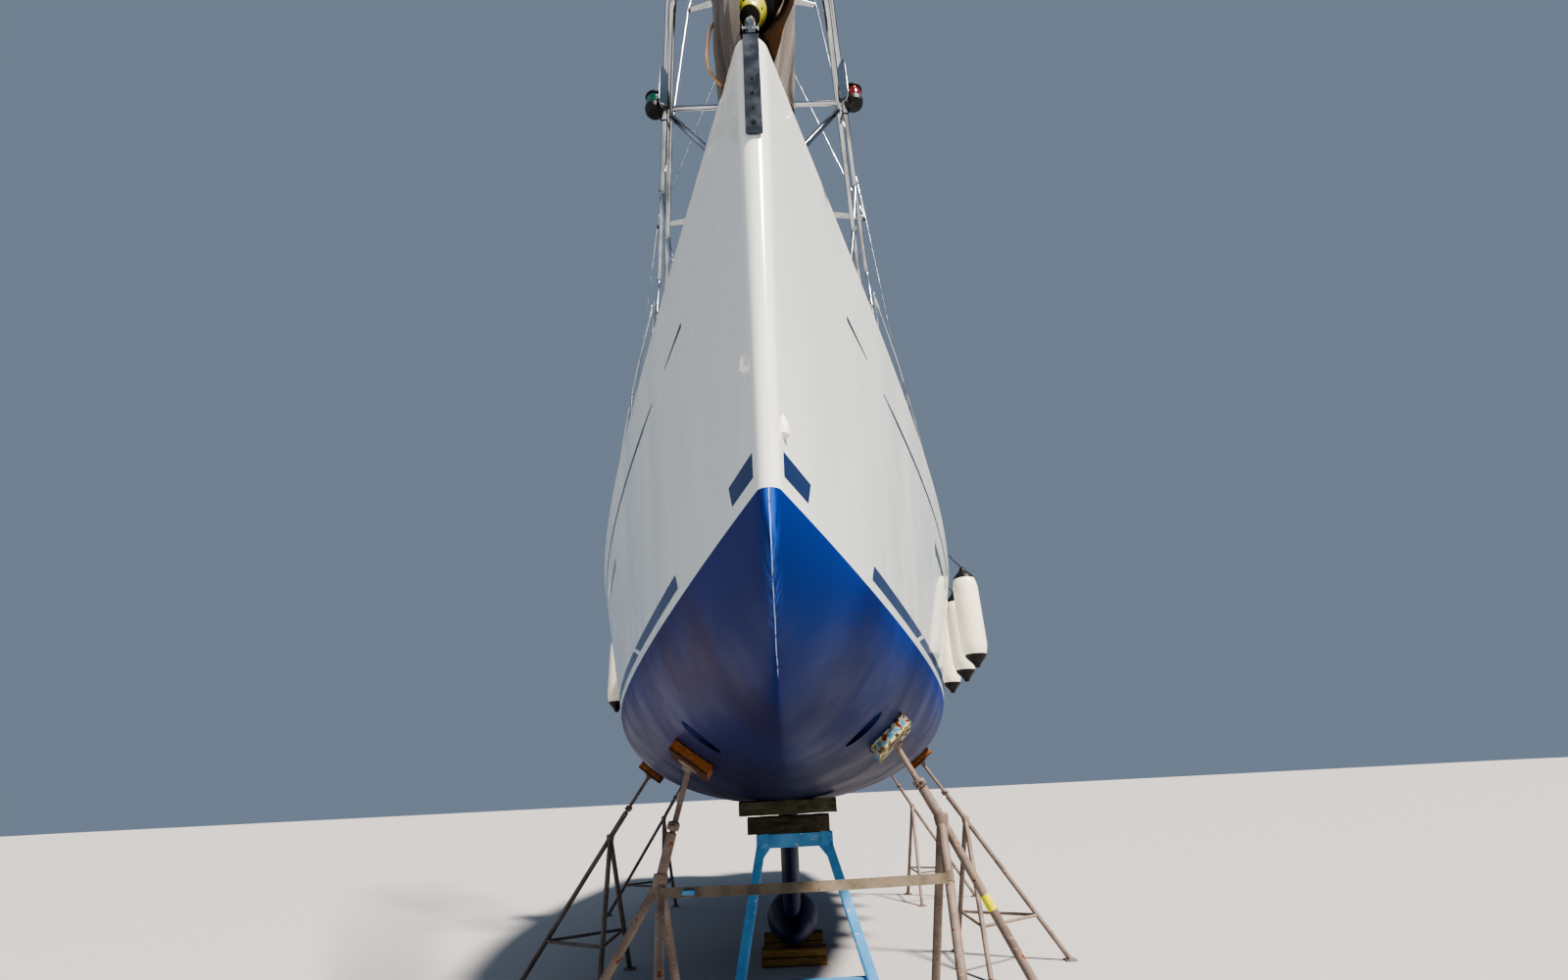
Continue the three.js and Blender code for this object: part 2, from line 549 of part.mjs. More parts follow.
function lifelines() {
  const at = (y, rise) => point(railX(y), y, railFoot(y) + rise);
  const stations = [1920, ...STANCHIONS, 12600];
  const parts = [320, 610].map((rise) => tube(stations.map((y) => at(y, rise)), 4, 14, 4));
  for (const y of STANCHIONS) {
    parts.push(rod(at(y, 0), at(y, 620), RAIL.r), rod(at(y, 0), at(y, 20), 34));
  }
  parts.push(rod(at(1925, 315), at(1925, 615), 6));
  const cornerX = railX(13400);
  const cornerZ = railFoot(13400);
  const corner = (rise) => [at(12560, rise), at(13150, rise), point(cornerX - 60, 13400, cornerZ + rise),
    point(cornerX - 250, 13440, cornerZ + rise), point(560, 13440, cornerZ + rise)];
  parts.push(tube(corner(320), RAIL.r, 10), tube(corner(620), RAIL.r, 10));
  parts.push(rod(at(12600, 0), at(12600, 620), RAIL.r), rod(at(12600, 0), at(12600, 20), 34));
  for (const x of [580, 1300]) {
    const foot = deckZ(x, 13370) - 10;
    parts.push(rod(point(x, 13370, foot), point(x, 13440, cornerZ + 330), RAIL.r));
    parts.push(rod(point(x, 13440, cornerZ + 320), point(x, 13440, cornerZ + 620), RAIL.r));
    parts.push(rod(point(x, 13370, foot), point(x, 13370, foot + 20), 34));
  }
  return cut(join(...parts), deckSkin);
}

// Rig
function mastSection(z, size) {
  const angles = Array.from({ length: 12 }, (_, i) => (2 * Math.PI * i) / 12);
  return angles.map((angle) =>
    [MAST.wide * size * Math.cos(angle), mastY(z) + MAST.long * size * Math.sin(angle), z]);
}

const mastFootZ = roofTop(5030) + 12 + GAP;

function spreader(tip) {
  const rootZ = tip.z - 60;
  const blade = (x, y, z, chord, thick) => [[x, y - chord / 2, z], [x, y - chord / 6, z + thick / 2],
    [x, y + chord / 2, z], [x, y - chord / 6, z - thick / 2]];
  return loft([blade(0, mastY(rootZ) + 10, rootZ, 170, 44),
    blade(tip.x - WIRE - 3, tip.y, tip.z, 70, 24)], "x");
}

function mast() {
  const tubeBody = loft([mastSection(mastFootZ, 1), mastSection(17500, 1), mastSection(MAST.top, 0.72)], "z");
  const parts = [tubeBody];
  for (const tip of [LOWER_SPREADER, UPPER_SPREADER]) {
    parts.push(spreader(tip), flip(spreader(tip)));
  }
  const head = mastY(MAST.top);
  parts.push(box(-28, 28, head - 130, head + 330, MAST.top - 60, MAST.top));
  parts.push(rod(stayPoint(stayLength - 260), stayPoint(stayLength + 60), 11, 8));
  const goose = mastY(GOOSENECK.z);
  parts.push(box(-22, 22, goose + 60, GOOSENECK.lugEnd, GOOSENECK.z - 60, GOOSENECK.z + 60));
  parts.push(box(-20, 20, mastY(GOOSENECK.vangZ) + 60, GOOSENECK.lugEnd, GOOSENECK.vangZ - 30,
    GOOSENECK.vangZ + 30));
  return join(...parts);
}

function shrouds() {
  const foot = point(CHAINPLATE.x, CHAINPLATE.y,
    deckZ(CHAINPLATE.x, CHAINPLATE.y) - 6);
  const outer = (tip) => point(tip.x + 3, tip.y, tip.z);
  const lower = outer(LOWER_SPREADER);
  const upper = outer(UPPER_SPREADER);
  const head = point(60, mastY(19150), 19150);
  const lowerRoot = point(60, mastY(8250) + 20, 8250);
  const middleRoot = point(60, mastY(12900) + 20, 12900);
  const plate = box(foot.x - 8, foot.x + 8, foot.y - 130, foot.y + 45, foot.z, foot.z + 70);
  const base = box(foot.x - 30, foot.x + 30, foot.y - 150, foot.y + 65, foot.z, foot.z + 18);
  const wires = join(rods([foot.clone().setZ(foot.z + 40), lower, upper, head], WIRE, 5),
    rod(point(foot.x, foot.y - 100, foot.z + 40), lowerRoot, WIRE, 5), rod(lower, middleRoot, WIRE, 5));
  const mastSkin = loft([mastSection(3000, 1.006), mastSection(17500, 1.006),
    mastSection(MAST.top, 0.73)], "z");
  return cut(join(plate, base, wires), mastSkin, deckSkin);
}

function backstay() {
  const head = mastY(MAST.top) + 300;
  const split = point(0, 12500, 6800);
  const foot = point(1180, 13350, deckZ(1180, 13350) - 8);
  const leg = rod(split, foot.clone().setZ(foot.z + 20), WIRE);
  const plate = box(foot.x - 8, foot.x + 8, foot.y - 45, foot.y + 25, foot.z, foot.z + 78);
  const block = turned([[0, 0], [26, 8], [26, 60], [0, 80]], point(0, 12470, 6840), point(0, 12560, 6600), 8);
  return cut(join(rod(point(0, head, MAST.top - 64), split, WIRE), leg, flip(leg), plate, flip(plate), block),
    deckSkin);
}

// The drum at the foot of the stay, and the furled headsail whose cover hangs round the drum as a skirt
const drum = () => turned([[0, 160], [30, 160], [44, 172], [50, 200], [64, 240], [96, 268], [96, 284],
  [70, 298], [70, 350], [96, 364], [96, 380], [52, 396], [30, 425], [0, 425]], STAY_FOOT, STAY_HEAD, 12);

function headsail() {
  const cover = turned([[0, -20], [180, -20], [188, 300], [186, 620], [185, 900], [178, 1500],
    [160, 4000], [130, 8000], [96, 12000], [62, 14600], [30, 15000], [24, 15050], [24, 15560], [0, 15560]],
  STAY_FOOT, STAY_HEAD, 12);
  const inside = turned([[0, -40], [166, -40], [172, 438], [0, 438]], STAY_FOOT, STAY_HEAD, 12);
  const opening = loft([[[-38, -400, 3900], [100, -400, 3900], [40, -400, 4640], [-38, -400, 4640]],
    [[-38, 20, 3900], [100, 20, 3900], [40, 250, 4640], [-38, 250, 4640]]]);
  return cut(cover, inside, opening);
}

// Boom with its vang, and the mainsail stowed on it
const boomAxis = point(0, MAST.rake, 1).normalize();
const boomAt = (distance, rise) => point(0, GOOSENECK.y + distance, GOOSENECK.z + 0.012 * distance + rise);

function boom() {
  const section = (distance) => Array.from({ length: 10 }, (_, i) => {
    const angle = (2 * Math.PI * (i + 0.5)) / 10;
    const at = boomAt(distance, 95 * Math.sin(angle));
    return [62 * Math.cos(angle), at.y, at.z];
  });
  const spar = loft([section(70), section(BOOM_END - GOOSENECK.y)]);
  const goose = join(box(-16, 16, GOOSENECK.y - 25, GOOSENECK.y + 90, GOOSENECK.z - 50, GOOSENECK.z + 50),
    rod(boomAt(0, -70), boomAt(0, 70), 20, 10));
  const vangFoot = point(0, GOOSENECK.y, GOOSENECK.vangZ);
  const vangHead = boomAt(1650, -80);
  const vangAt = (share) => vangFoot.clone().lerp(vangHead, share);
  const knuckleAt = (z) => point(0, GOOSENECK.y, z);
  const knuckle = rod(knuckleAt(GOOSENECK.vangZ - 30), knuckleAt(GOOSENECK.vangZ + 30), 22, 10);
  return join(spar, goose, knuckle, rod(vangFoot, vangAt(0.55), 26, 10),
    rod(vangAt(0.04), vangAt(0.55), 36, 10), rod(vangAt(0.55), vangHead, 24, 10));
}

function stowedSail() {
  const outline = [
    [-0.45, 0], [-1, 0.25], [-0.9, 0.62], [-0.35, 0.96], [0.35, 0.96], [0.9, 0.62], [1, 0.25], [0.45, 0]];
  const section = (distance, half, low, high) => outline.map(([u, v]) => {
    const at = boomAt(distance, low + (high - low) * v);
    return [half * u, at.y, at.z];
  });
  return loft([section(150, 90, 97, 560), section(420, 170, 97, 600), section(1700, 190, 97, 470),
    section(3500, 170, 97, 360), section(4900, 130, 97, 260), section(5200, 70, 97, 200)]);
}

// Cockpit
function pedestal(side) {
  const half = [150, 120, 95];
  const heights = [HELM.z + GAP, 3500, 3960];
  const rings = heights.map((z, i) => {
    const x = side * 860;
    const front = 11960 + 25 * i;
    const back = 12190 - 12 * i;
    return [[x - half[i], front, z], [x + half[i], front, z], [x + half[i], back, z], [x - half[i], back, z]];
  });
  return loft(rings, "z");
}

function wheel(side) {
  const centre = point(side * 860, 12290, 3860);
  const rim = new THREE.TorusGeometry(450, 15, 5, 24);
  rim.rotateX(Math.PI / 2);
  rim.translate(centre.x, centre.y, centre.z);
  const parts = [solid(rim), rod(point(centre.x, 12176, centre.z), point(centre.x, 12320, centre.z), 46, 10)];
  for (let i = 0; i < 5; i++) {
    const angle = Math.PI / 2 + (2 * Math.PI * i) / 5;
    const reach = point(centre.x + 448 * Math.cos(angle), centre.y, centre.z + 448 * Math.sin(angle));
    parts.push(rod(centre, reach, 9, 5));
  }
  return join(...parts);
}

function winch(side) {
  const y = 11000;
  const x = side * (COAMING.inside + COAMING.outside) / 2;
  const foot = deckTop(COAMING.front) + COAMING.rise
    + (y - COAMING.front) / (COAMING.aft - 500 - COAMING.front)
    * (deckTop(COAMING.aft) - 60 - deckTop(COAMING.front));
  return turned([[0, 4], [98, 4], [98, 30], [66, 50], [60, 90], [78, 150], [78, 170], [30, 184], [0, 184]],
    point(x, y, foot), point(x, y, 5000), 12);
}

// Hatches and lids
function lid(y0, y1, half, foot, thick) {
  return box(-half, half, y0, y1, foot, foot + thick);
}

// A plate with a narrower frame under it, so that its slanted sides clear the hole as it lifts
function anchorLid() {
  const front = deckTop(LOCKER.front) + 1;
  const aft = deckTop(LOCKER.aft) + 1;
  const layer = (margin, thick) => slab("x", [[LOCKER.front, front - thick], [LOCKER.front, front],
    [LOCKER.aft, aft], [LOCKER.aft, aft - thick]], -600, 600)
    .intersect(slab("z", lidOutline(margin), 3300, 4400));
  return join(layer(-4, 16), layer(-30, 48));
}

const forwardHatch = () => lid(2300, 2850, 280, deckTop(2300) - 30, 75);
const roofHatch = () => lid(6250, 6800, 260, ROOF_Z - 25, 70);

function companionSlide() {
  return join(box(-380, 380, COMPANION.front - 60, ROOF_AFT + 20, ROOF_Z + 8, ROOF_Z + 42),
    box(-380, -356, COMPANION.front - 60, ROOF_AFT + 20, ROOF_Z - 3, ROOF_Z + 20),
    box(356, 380, COMPANION.front - 60, ROOF_AFT + 20, ROOF_Z - 3, ROOF_Z + 20));
}

const washboard = () => box(-COMPANION.half + GAP, COMPANION.half - GAP, ROOF_AFT - 34, ROOF_AFT - 6,
  COMPANION.sill + GAP, ROOF_Z - 8);

function ladder() {
  const [low, high] = TRANSOM;
  const slope = (high[0] - low[0]) / (high[1] - low[1]);
  const at = (x, distance) => point(x, LADDER_HINGE.y + distance * slope, LADDER_HINGE.z + distance);
  const parts = [rod(at(-240, 0), at(240, 0), 14)];
  for (const x of [-190, 190]) {
    parts.push(rod(at(x, -6), at(x, 800), 13));
  }
  for (const distance of [230, 480, 730]) {
    parts.push(rod(at(-190, distance), at(190, distance), 13));
  }
  return join(...parts);
}

// Ladder hinge lugs are bolted to the transom under the swimming step, so they belong to the fixed side
function ladderLugs() {
  const [low, high] = TRANSOM;
  const wallY = (z) => low[0] + GAP + ((z - low[1]) / (high[1] - low[1])) * (high[0] - low[0]);
  const lug = (x) => slab("x", [[wallY(2600), 2600], [wallY(2440), 2440], [wallY(2440) + 40, 2440],
    [14004, 2680], [14004, 2728], [13950, 2728]], x - 8, x + 8);
  const bar = slab("x", [[wallY(2560), 2560], [wallY(2460), 2460], [wallY(2460) + 12, 2460],
    [wallY(2560) + 12, 2560]], -250, 250);
  const bore = rod(LADDER_HINGE.clone().setX(-260), LADDER_HINGE.clone().setX(260), 20, 12);
  return cut(join(lug(-230), lug(230), bar), bore);
}

// Fender on its lanyard from the upper lifeline
function fender(side, y) {
  const x = deckHalf(y) + FENDER_OUT;
  const body = turned([[0, 0], [30, 0], [46, 40], [112, 112], [142, 240], [142, 920], [112, 1048], [46, 1120],
    [30, 1160], [0, 1160]], point(x, y, 2770), point(x, y, 4000), 10);
  const hung = join(body, rod(point(x, y, 3920), point(railX(y) + 4 + WIRE, y, railFoot(y) + 600), WIRE));
  return side > 0 ? hung : flip(hung);
}

// Stands
const TRESTLE_AT = 4000;
const ground = box(-4000, 4000, 0, 15000, -100, 0);

function trestle() {
  const beam = box(-230, 320, TRESTLE_AT - 60, TRESTLE_AT + 60, 1240, 1330);
  const parts = [beam];
  for (const lean of [-1, 1]) {
    for (const [topX, footX] of [[-200, -455], [285, 645]]) {
      const top = point(topX, TRESTLE_AT + lean * 30, 1250);
      const foot = point(footX, TRESTLE_AT + lean * 420, 8);
      parts.push(rod(top, foot, 44, 4));
      parts.push(box(footX - 60, footX + 60, foot.y - 60, foot.y + 60, 0, 10));
    }
    const y = TRESTLE_AT + lean * 300;
    parts.push(box(-400, 560, y - 20, y + 20, 330, 380));
  }
  for (const x of [-382, 534]) {
    parts.push(box(x - 20, x + 20, TRESTLE_AT - 310, TRESTLE_AT + 310, 335, 375));
  }
  return join(...parts).subtract(ground);
}

const timbers = () => cut(join(box(-290, 300, TRESTLE_AT - 110, TRESTLE_AT + 110, 1330 + GAP, 1450),
  box(-350, 360, TRESTLE_AT - 100, TRESTLE_AT + 100, 1449, 1556)), hullSkin);

const keelBlock = (y, half) => box(-330, 330, y - half, y + half, 0, BULB.low);

// A tripod prop: foot ring, three legs, a screw with its handle, and a board set square to the hull
function tripod({ side, at, z, reach, drop, span }) {
  const x = hullHalf(at, z);
  const slope = 20;
  const run = point(0, slope, (hullHalf(at + slope, z) - x));
  const climb = point(hullHalf(at, z + slope) - x, 0, slope);
  const length = point(run.z, slope, 0);
  const normal = length.clone().cross(climb).normalize();
  const face = point(x, at, z);
  const head = face.clone().addScaledVector(normal, 60);
  const apex = point(x + reach, at, z - drop);
  const board = new THREE.BoxGeometry(250, 250, 70);
  const turn = new THREE.Matrix4().lookAt(point(0, 0, 0), normal, point(0, 1, 0)).setPosition(
    face.clone().addScaledVector(normal, 28));
  const parts = [cut(solid(board, turn), hullSkin), rod(head.clone().addScaledVector(normal, -20), apex, 17),
    rod(apex.clone().lerp(head, 0.4), apex, 27)];
  const handle = apex.clone().lerp(head, 0.46);
  parts.push(rod(handle.clone().add(point(0, -130, 0)), handle.clone().add(point(0, 130, 0)), 10, 5));
  const feet = [[span, 0], [-120, 640], [-120, -640]];
  for (const [dx, dy] of feet) {
    const foot = point(apex.x + dx, at + dy, 8);
    parts.push(rod(apex, foot, 24));
    parts.push(box(foot.x - 55, foot.x + 55, foot.y - 55, foot.y + 55, 0, 10));
  }
  const ring = feet.map(([dx, dy]) => point(apex.x + dx * 0.7, at + dy * 0.7, apex.z * 0.3 + 8 * 0.7));
  parts.push(rods([...ring, ring[0]], 14, 5));
  const stand = join(...parts).subtract(ground);
  return side > 0 ? stand : flip(stand);
}

// The assembly
const both = (name, make, material) => {
  add(`${name}_port`, make(), material);
  add(`${name}_starboard`, flip(make()), material);
};

add("hull", hull(), GELCOAT);
add("deck", deck(), DECK);
both("roof_window", roofPane, GLASS);
both("hull_window", hullPane, GLASS);
add("keel", keel(), KEEL);
add("rudder", rudder(), KEEL);
add("propeller", propeller(), BRONZE);
add("shaft_bracket", shaftBracket(), BRONZE);
add("thruster_leg", thrusterLeg(), BRONZE);
add("thruster_propeller", thrusterPropeller(), PLASTIC);
add("engine", box(-260, 260, 7850, 8650, CABIN.sole + GAP, 2560), ENGINE);
add("stem_fitting", stemFitting(), STEEL);
add("pulpit", pulpit(), STEEL);
add("bow_light_port", bowLight(), RED);
add("bow_light_starboard", flip(bowLight()), GREEN);
both("lifelines", lifelines, STEEL);
add("mast", mast(), ALUMINIUM);
both("shrouds", shrouds, STEEL);
add("backstay", backstay(), STEEL);
add("furler_drum", drum(), PLASTIC);
add("furled_headsail", headsail(), CANVAS);
add("boom", boom(), ALUMINIUM);
add("stowed_sail", stowedSail(), CANVAS);
add("pedestal_port", pedestal(1), GELCOAT);
add("pedestal_starboard", pedestal(-1), GELCOAT);
add("wheel_port", wheel(1), STEEL);
add("wheel_starboard", wheel(-1), STEEL);
add("winch_port", winch(1), STEEL);
add("winch_starboard", winch(-1), STEEL);
add("anchor_locker_lid", anchorLid(), DECK);
add("forward_hatch", forwardHatch(), GLASS);
add("roof_hatch", roofHatch(), GLASS);
add("companionway_slide", companionSlide(), GLASS);
add("washboard", washboard(), GLASS);
add("ladder_lugs", ladderLugs(), STEEL);
add("bathing_ladder", ladder(), STEEL);
for (const [name, side, y] of FENDERS) {
  add(name, fender(side, y), FENDER);
}
add("trestle", trestle(), TRESTLE);
add("trestle_timbers", timbers(), TIMBER);
add("keel_block_fore", keelBlock(6750, 110), BLOCK);
add("keel_block_aft", keelBlock(7550, 110), BLOCK);
for (const place of TRIPODS) {
  add(place.name, tripod(place), PROP);
}

export default group;
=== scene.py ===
# Sailing yacht ashore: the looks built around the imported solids. Metres, +Z up, +X to port and the
# bow towards -Y. In the helpers s is the distance aft of the stem and z the height above the ground.
import random
from math import copysign, cos, degrees, exp, pi, radians, sin, sqrt

import bmesh
import bpy
from mathutils import Matrix, Vector


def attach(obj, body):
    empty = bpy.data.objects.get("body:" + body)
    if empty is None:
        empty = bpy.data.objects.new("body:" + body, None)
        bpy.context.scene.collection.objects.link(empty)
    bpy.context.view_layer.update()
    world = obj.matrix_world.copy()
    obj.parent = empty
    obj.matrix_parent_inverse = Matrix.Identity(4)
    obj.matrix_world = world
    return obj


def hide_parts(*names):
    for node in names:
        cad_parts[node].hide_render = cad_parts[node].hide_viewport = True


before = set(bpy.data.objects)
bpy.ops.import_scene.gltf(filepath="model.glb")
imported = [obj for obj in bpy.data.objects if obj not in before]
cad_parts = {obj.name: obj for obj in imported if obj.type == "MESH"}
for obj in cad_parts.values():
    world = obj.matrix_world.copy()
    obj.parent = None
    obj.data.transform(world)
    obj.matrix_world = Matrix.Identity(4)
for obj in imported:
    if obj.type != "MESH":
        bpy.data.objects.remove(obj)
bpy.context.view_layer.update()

# Driving dimensions
LENGTH = 14.0
MIDDLE = 6.99
PAINT_Z = 2.287
SKIN = 0.06
DECK_EDGE = 0.05
DECK_CAMBER = 0.07
DECK_BEAM = 2.15
ROOF = {"front": 3.6, "flat": 6.0, "aft": 9.2, "top": 4.12, "wall": 0.04}
CABIN = {"front": 3.2, "aft": 9.16, "sole": 1.95}
TUNNEL = {"s": 2.0, "z": 1.867, "r": 0.078}
STEM_RADIUS = {"deck": 0.04, "paint": 0.02}
MAST = {"at": 4.9, "at_z": 8.457, "rake": 0.0213}

SIDES = (("port", 1), ("starboard", -1))
PORT, AFT, UP = Vector((1, 0, 0)), Vector((0, 1, 0)), Vector((0, 0, 1))


def at(x, s, z):
    """A point in the row frame from its side, its distance aft of the stem and its height."""
    return Vector((x, s - MIDDLE, z))


def off(x, y, z):
    return Vector((x, y, z))


STAY_FOOT, STAY_HEAD = at(0, 0.03, 4.11), at(0, 5.01, 19.2)
STAY_AXIS = (STAY_HEAD - STAY_FOOT).normalized()

# Camera, from the photograph's vanishing lines and the hull's own points
CAMERA = {"place": at(0.0142, -1.5185, 1.6), "yaw": 0.8531, "pitch": 24.0261, "roll": -2.9073}
FOCAL_PIXELS = 691.47
PICTURE_WIDTH = 1600
SENSOR = 36.0


def make_camera():
    yaw, pitch, roll = (radians(CAMERA[k]) for k in ("yaw", "pitch", "roll"))
    ahead = off(sin(yaw) * cos(pitch), cos(yaw) * cos(pitch), sin(pitch))
    level = off(cos(yaw), -sin(yaw), 0)
    up = level.cross(ahead)
    right = level * cos(roll) + up * sin(roll)
    top = up * cos(roll) - level * sin(roll)
    data = bpy.data.cameras.new("camera")
    data.sensor_width = SENSOR
    data.lens = SENSOR * FOCAL_PIXELS / PICTURE_WIDTH
    data.clip_end = 500
    camera = bpy.data.objects.new("camera", data)
    axes = Matrix((right, top, -ahead)).transposed().to_4x4()
    camera.matrix_world = Matrix.Translation(CAMERA["place"]) @ axes
    bpy.context.scene.collection.objects.link(camera)
    bpy.context.scene.camera = camera


make_camera()


# Hull form, as functions of the distance aft of the stem

def clamp(value, low=0.0, high=1.0):
    return max(low, min(high, value))


def sheer(s):
    return 3.567 + 0.401 * (1 - s / 9.9) ** 2


def nose(s, radius):
    return 0.003 + radius * sqrt(1 - (1 - clamp(s / radius)) ** 2)


def half_beam(s, greatest, widest, loss):
    growing = greatest * sin(pi / 2 * min(s / widest, 1))
    past = max(0, (s - widest) / (LENGTH - widest))
    return growing * (1 - loss * past * past)


def deck_half(s):
    return half_beam(s, DECK_BEAM, 8.75, 0.2) + nose(s, STEM_RADIUS["deck"])


def paint_half(s):
    return half_beam(s, 1.85, 8.8, 0.25) + nose(s, STEM_RADIUS["paint"]) + 0.02 * (1 - exp(-s / 0.6))


def keel_z(s):
    if s < 6.2:
        return 1.5 + 0.43 * (1 - s / 6.2) ** 2.2 + 0.2 * exp(-s / 0.25)
    return 1.5 + 0.72 * ((s - 6.2) / 7.8) ** 1.9


def fullness(s):
    return 1.3 + 1.05 * (1 - exp(-s / 4.5))


def wall_half(s, z):
    share = (z - PAINT_Z) / (sheer(s) - PAINT_Z)
    return paint_half(s) + (deck_half(s) - paint_half(s)) * share


def hull_half(s, z):
    if z >= PAINT_Z:
        return wall_half(s, z)
    n = fullness(s)
    depth = clamp((PAINT_Z - z) / (PAINT_Z - keel_z(s)))
    return wall_half(s, z) * (1 - depth ** n) ** (1 / n)


def hull_ring(s, inset=0.0, rise=0.0, walls=8, bilge=26):
    n = fullness(s)
    low, top = keel_z(s) + inset, sheer(s) + rise
    half = []
    for i in range(walls):
        z = top + (PAINT_Z - top) * i / walls
        half.append((wall_half(s, z) - inset, z))
    for i in range(bilge, 0, -1):
        angle = pi / 2 * i / bilge
        z = PAINT_Z - (PAINT_Z - low) * max(0, cos(angle)) ** (2 / n)
        half.append(((wall_half(s, z) - inset) * sin(angle) ** (2 / n), z))
    return [*(at(-x, s, z) for x, z in half), at(0, s, low), *(at(x, s, z) for x, z in reversed(half))]


def camber(s):
    return DECK_CAMBER * min(1, deck_half(s) / DECK_BEAM)


def deck_top(s):
    return sheer(s) + DECK_EDGE + camber(s)


def deck_z(x, s):
    return sheer(s) + DECK_EDGE + camber(s) * (1 - (x / deck_half(s)) ** 2)


def roof_rise(s):
    share = clamp((s - ROOF["front"]) / (ROOF["flat"] - ROOF["front"]))
    return max(0.03, share * share * (3 - 2 * share))


def roof_top(s):
    return deck_top(s) + (ROOF["top"] - deck_top(s)) * roof_rise(s)


def roof_half(s):
    return 0.56 + 0.77 * sin(pi / 2 * (s - ROOF["front"]) / (ROOF["aft"] - ROOF["front"]))


def roof_z(x, s):
    """Height of the coachroof's crown."""
    return roof_top(s) - 0.004 * roof_rise(s) * min(1, abs(x) / (0.4 * roof_half(s)))


def mast_s(z):
    return MAST["at"] + (z - MAST["at_z"]) * MAST["rake"]


def stay_point(distance):
    return STAY_FOOT + STAY_AXIS * distance


def shaft_point(distance):
    angle = radians(9)
    return at(0, 8.6 + distance * cos(angle), 1.636 - distance * sin(angle))


# Closed forms: each is a list of points and a list of faces

def spaced(low, high, count, power=1.0):
    return [low + (high - low) * (k / count) ** power for k in range(count + 1)]


def around(count, shift=0.0):
    """Angles spread evenly over a full turn."""
    return [2 * pi * (k + shift) / count for k in range(count)]


def oval(centre, across, up, count):
    """Points round a centre, from the half axes of an ellipse."""
    return [centre + across * cos(a) + up * sin(a) for a in around(count)]


def loft(rings, ends_meet=False):
    """Faces between rings of points, closed by the first and last ring or by meeting again."""
    count = len(rings[0])
    points = [p for ring in rings for p in ring]
    faces = []
    for i in range(len(rings) - (not ends_meet)):
        step = count if i + 1 < len(rings) else count - len(points)
        for j in range(count):
            here, beside = i * count + j, i * count + (j + 1) % count
            faces.append((here, beside, beside + step, here + step))
    if not ends_meet:
        faces.append(tuple(range(count)))
        faces.append(tuple(range(len(points) - count, len(points))))
    return points, faces


def box(low, high):
    corners = [(low[0], low[1]), (high[0], low[1]), (high[0], high[1]), (low[0], high[1])]
    return loft([[off(x, y, z) for x, y in corners] for z in (low[2], high[2])])


def block(x0, x1, s0, s1, z0, z1):
    return box(at(x0, s0, z0), at(x1, s1, z1))


def slab(axis, outline, low, high):
    """An outline pushed along one axis: its pairs are (s, z), (x, z) or (x, s)."""
    place = {"x": lambda u, v, w: at(w, u, v), "y": lambda u, v, w: at(u, w, v), "z": at}[axis]
    return loft([[place(u, v, w) for u, v in outline] for w in (low, high)])


def axes_along(direction):
    """Two unit vectors square to a direction and to each other."""
    ahead = direction.normalized()
    side = ahead.cross(UP if abs(ahead.z) < 0.9 else PORT).normalized()
    return side, ahead.cross(side).normalized()


def circle(centre, side, up, radius, count):
    """Points round a centre, from two unit vectors."""
    return [centre + (side * cos(a) + up * sin(a)) * radius for a in around(count)]


def turned(profile, start, ahead=UP, sides=24):
    """A turned body: the profile's pairs are (radius, distance from the start)."""
    ahead = ahead.normalized()
    side, up = axes_along(ahead)
    return loft([circle(start + ahead * distance, side, up, max(r, 1e-5), sides) for r, distance in profile])


def tube(path, radius, sides=12, meets=False):
    """A round tube along points; radius is one number or one for each point."""
    count = len(path)
    radii = radius if isinstance(radius, list) else [radius] * count
    rings = []
    side = None
    for i, (centre, r) in enumerate(zip(path, radii)):
        before = path[i - 1] if i or meets else centre
        after = path[(i + 1) % count] if i + 1 < count or meets else centre
        ahead = (after - before).normalized()
        side = side or axes_along(ahead)[0]
        side = (side - ahead * side.dot(ahead)).normalized()
        rings.append(circle(centre, side, ahead.cross(side), r, sides))
    return loft(rings, meets)


def smooth(points, steps=8):
    """A Catmull-Rom line through the points."""
    line = []
    for i, (p1, p2) in enumerate(zip(points, points[1:])):
        p0 = points[i - 1] if i else p1 * 2 - p2
        p3 = points[i + 2] if i + 2 < len(points) else p2 * 2 - p1
        for k in range(steps):
            t = k / steps
            line.append(0.5 * (2 * p1 + (p2 - p0) * t + (2 * p0 - 5 * p1 + 4 * p2 - p3) * t * t
                               + (3 * p1 - p0 - 3 * p2 + p3) * t ** 3))
    return [*line, points[-1]]


def mirrored(form):
    points, faces = form
    return [off(-p[0], p[1], p[2]) for p in points], faces


CORNERS = ((-1, -1), (1, -1), (1, 1), (-1, 1))


def ribbon(path, across, width, thick):
    """A flat strap along points, its width along one direction."""
    rings = []
    for i, centre in enumerate(path):
        ahead = (path[min(i + 1, len(path) - 1)] - path[max(i - 1, 0)]).normalized()
        wide = Vector(across)
        wide = (wide - ahead * wide.dot(ahead)).normalized()
        up = ahead.cross(wide)
        rings.append([centre + wide * u * width / 2 + up * v * thick / 2 for u, v in CORNERS])
    return loft(rings)


def cuboid(centre, axes, sizes):
    a, b, c = (axis * size / 2 for axis, size in zip(axes, sizes))
    return loft([[centre + a * u + b * v + c * w for u, v in CORNERS] for w in (-1, 1)])


def arc(centre, radius, start, end, steps=5):
    """Points on an arc as (u, v) pairs, angles in degrees."""
    turn = [radians(a) for a in spaced(start, end, steps)]
    return [(centre[0] + radius * cos(a), centre[1] + radius * sin(a)) for a in turn]


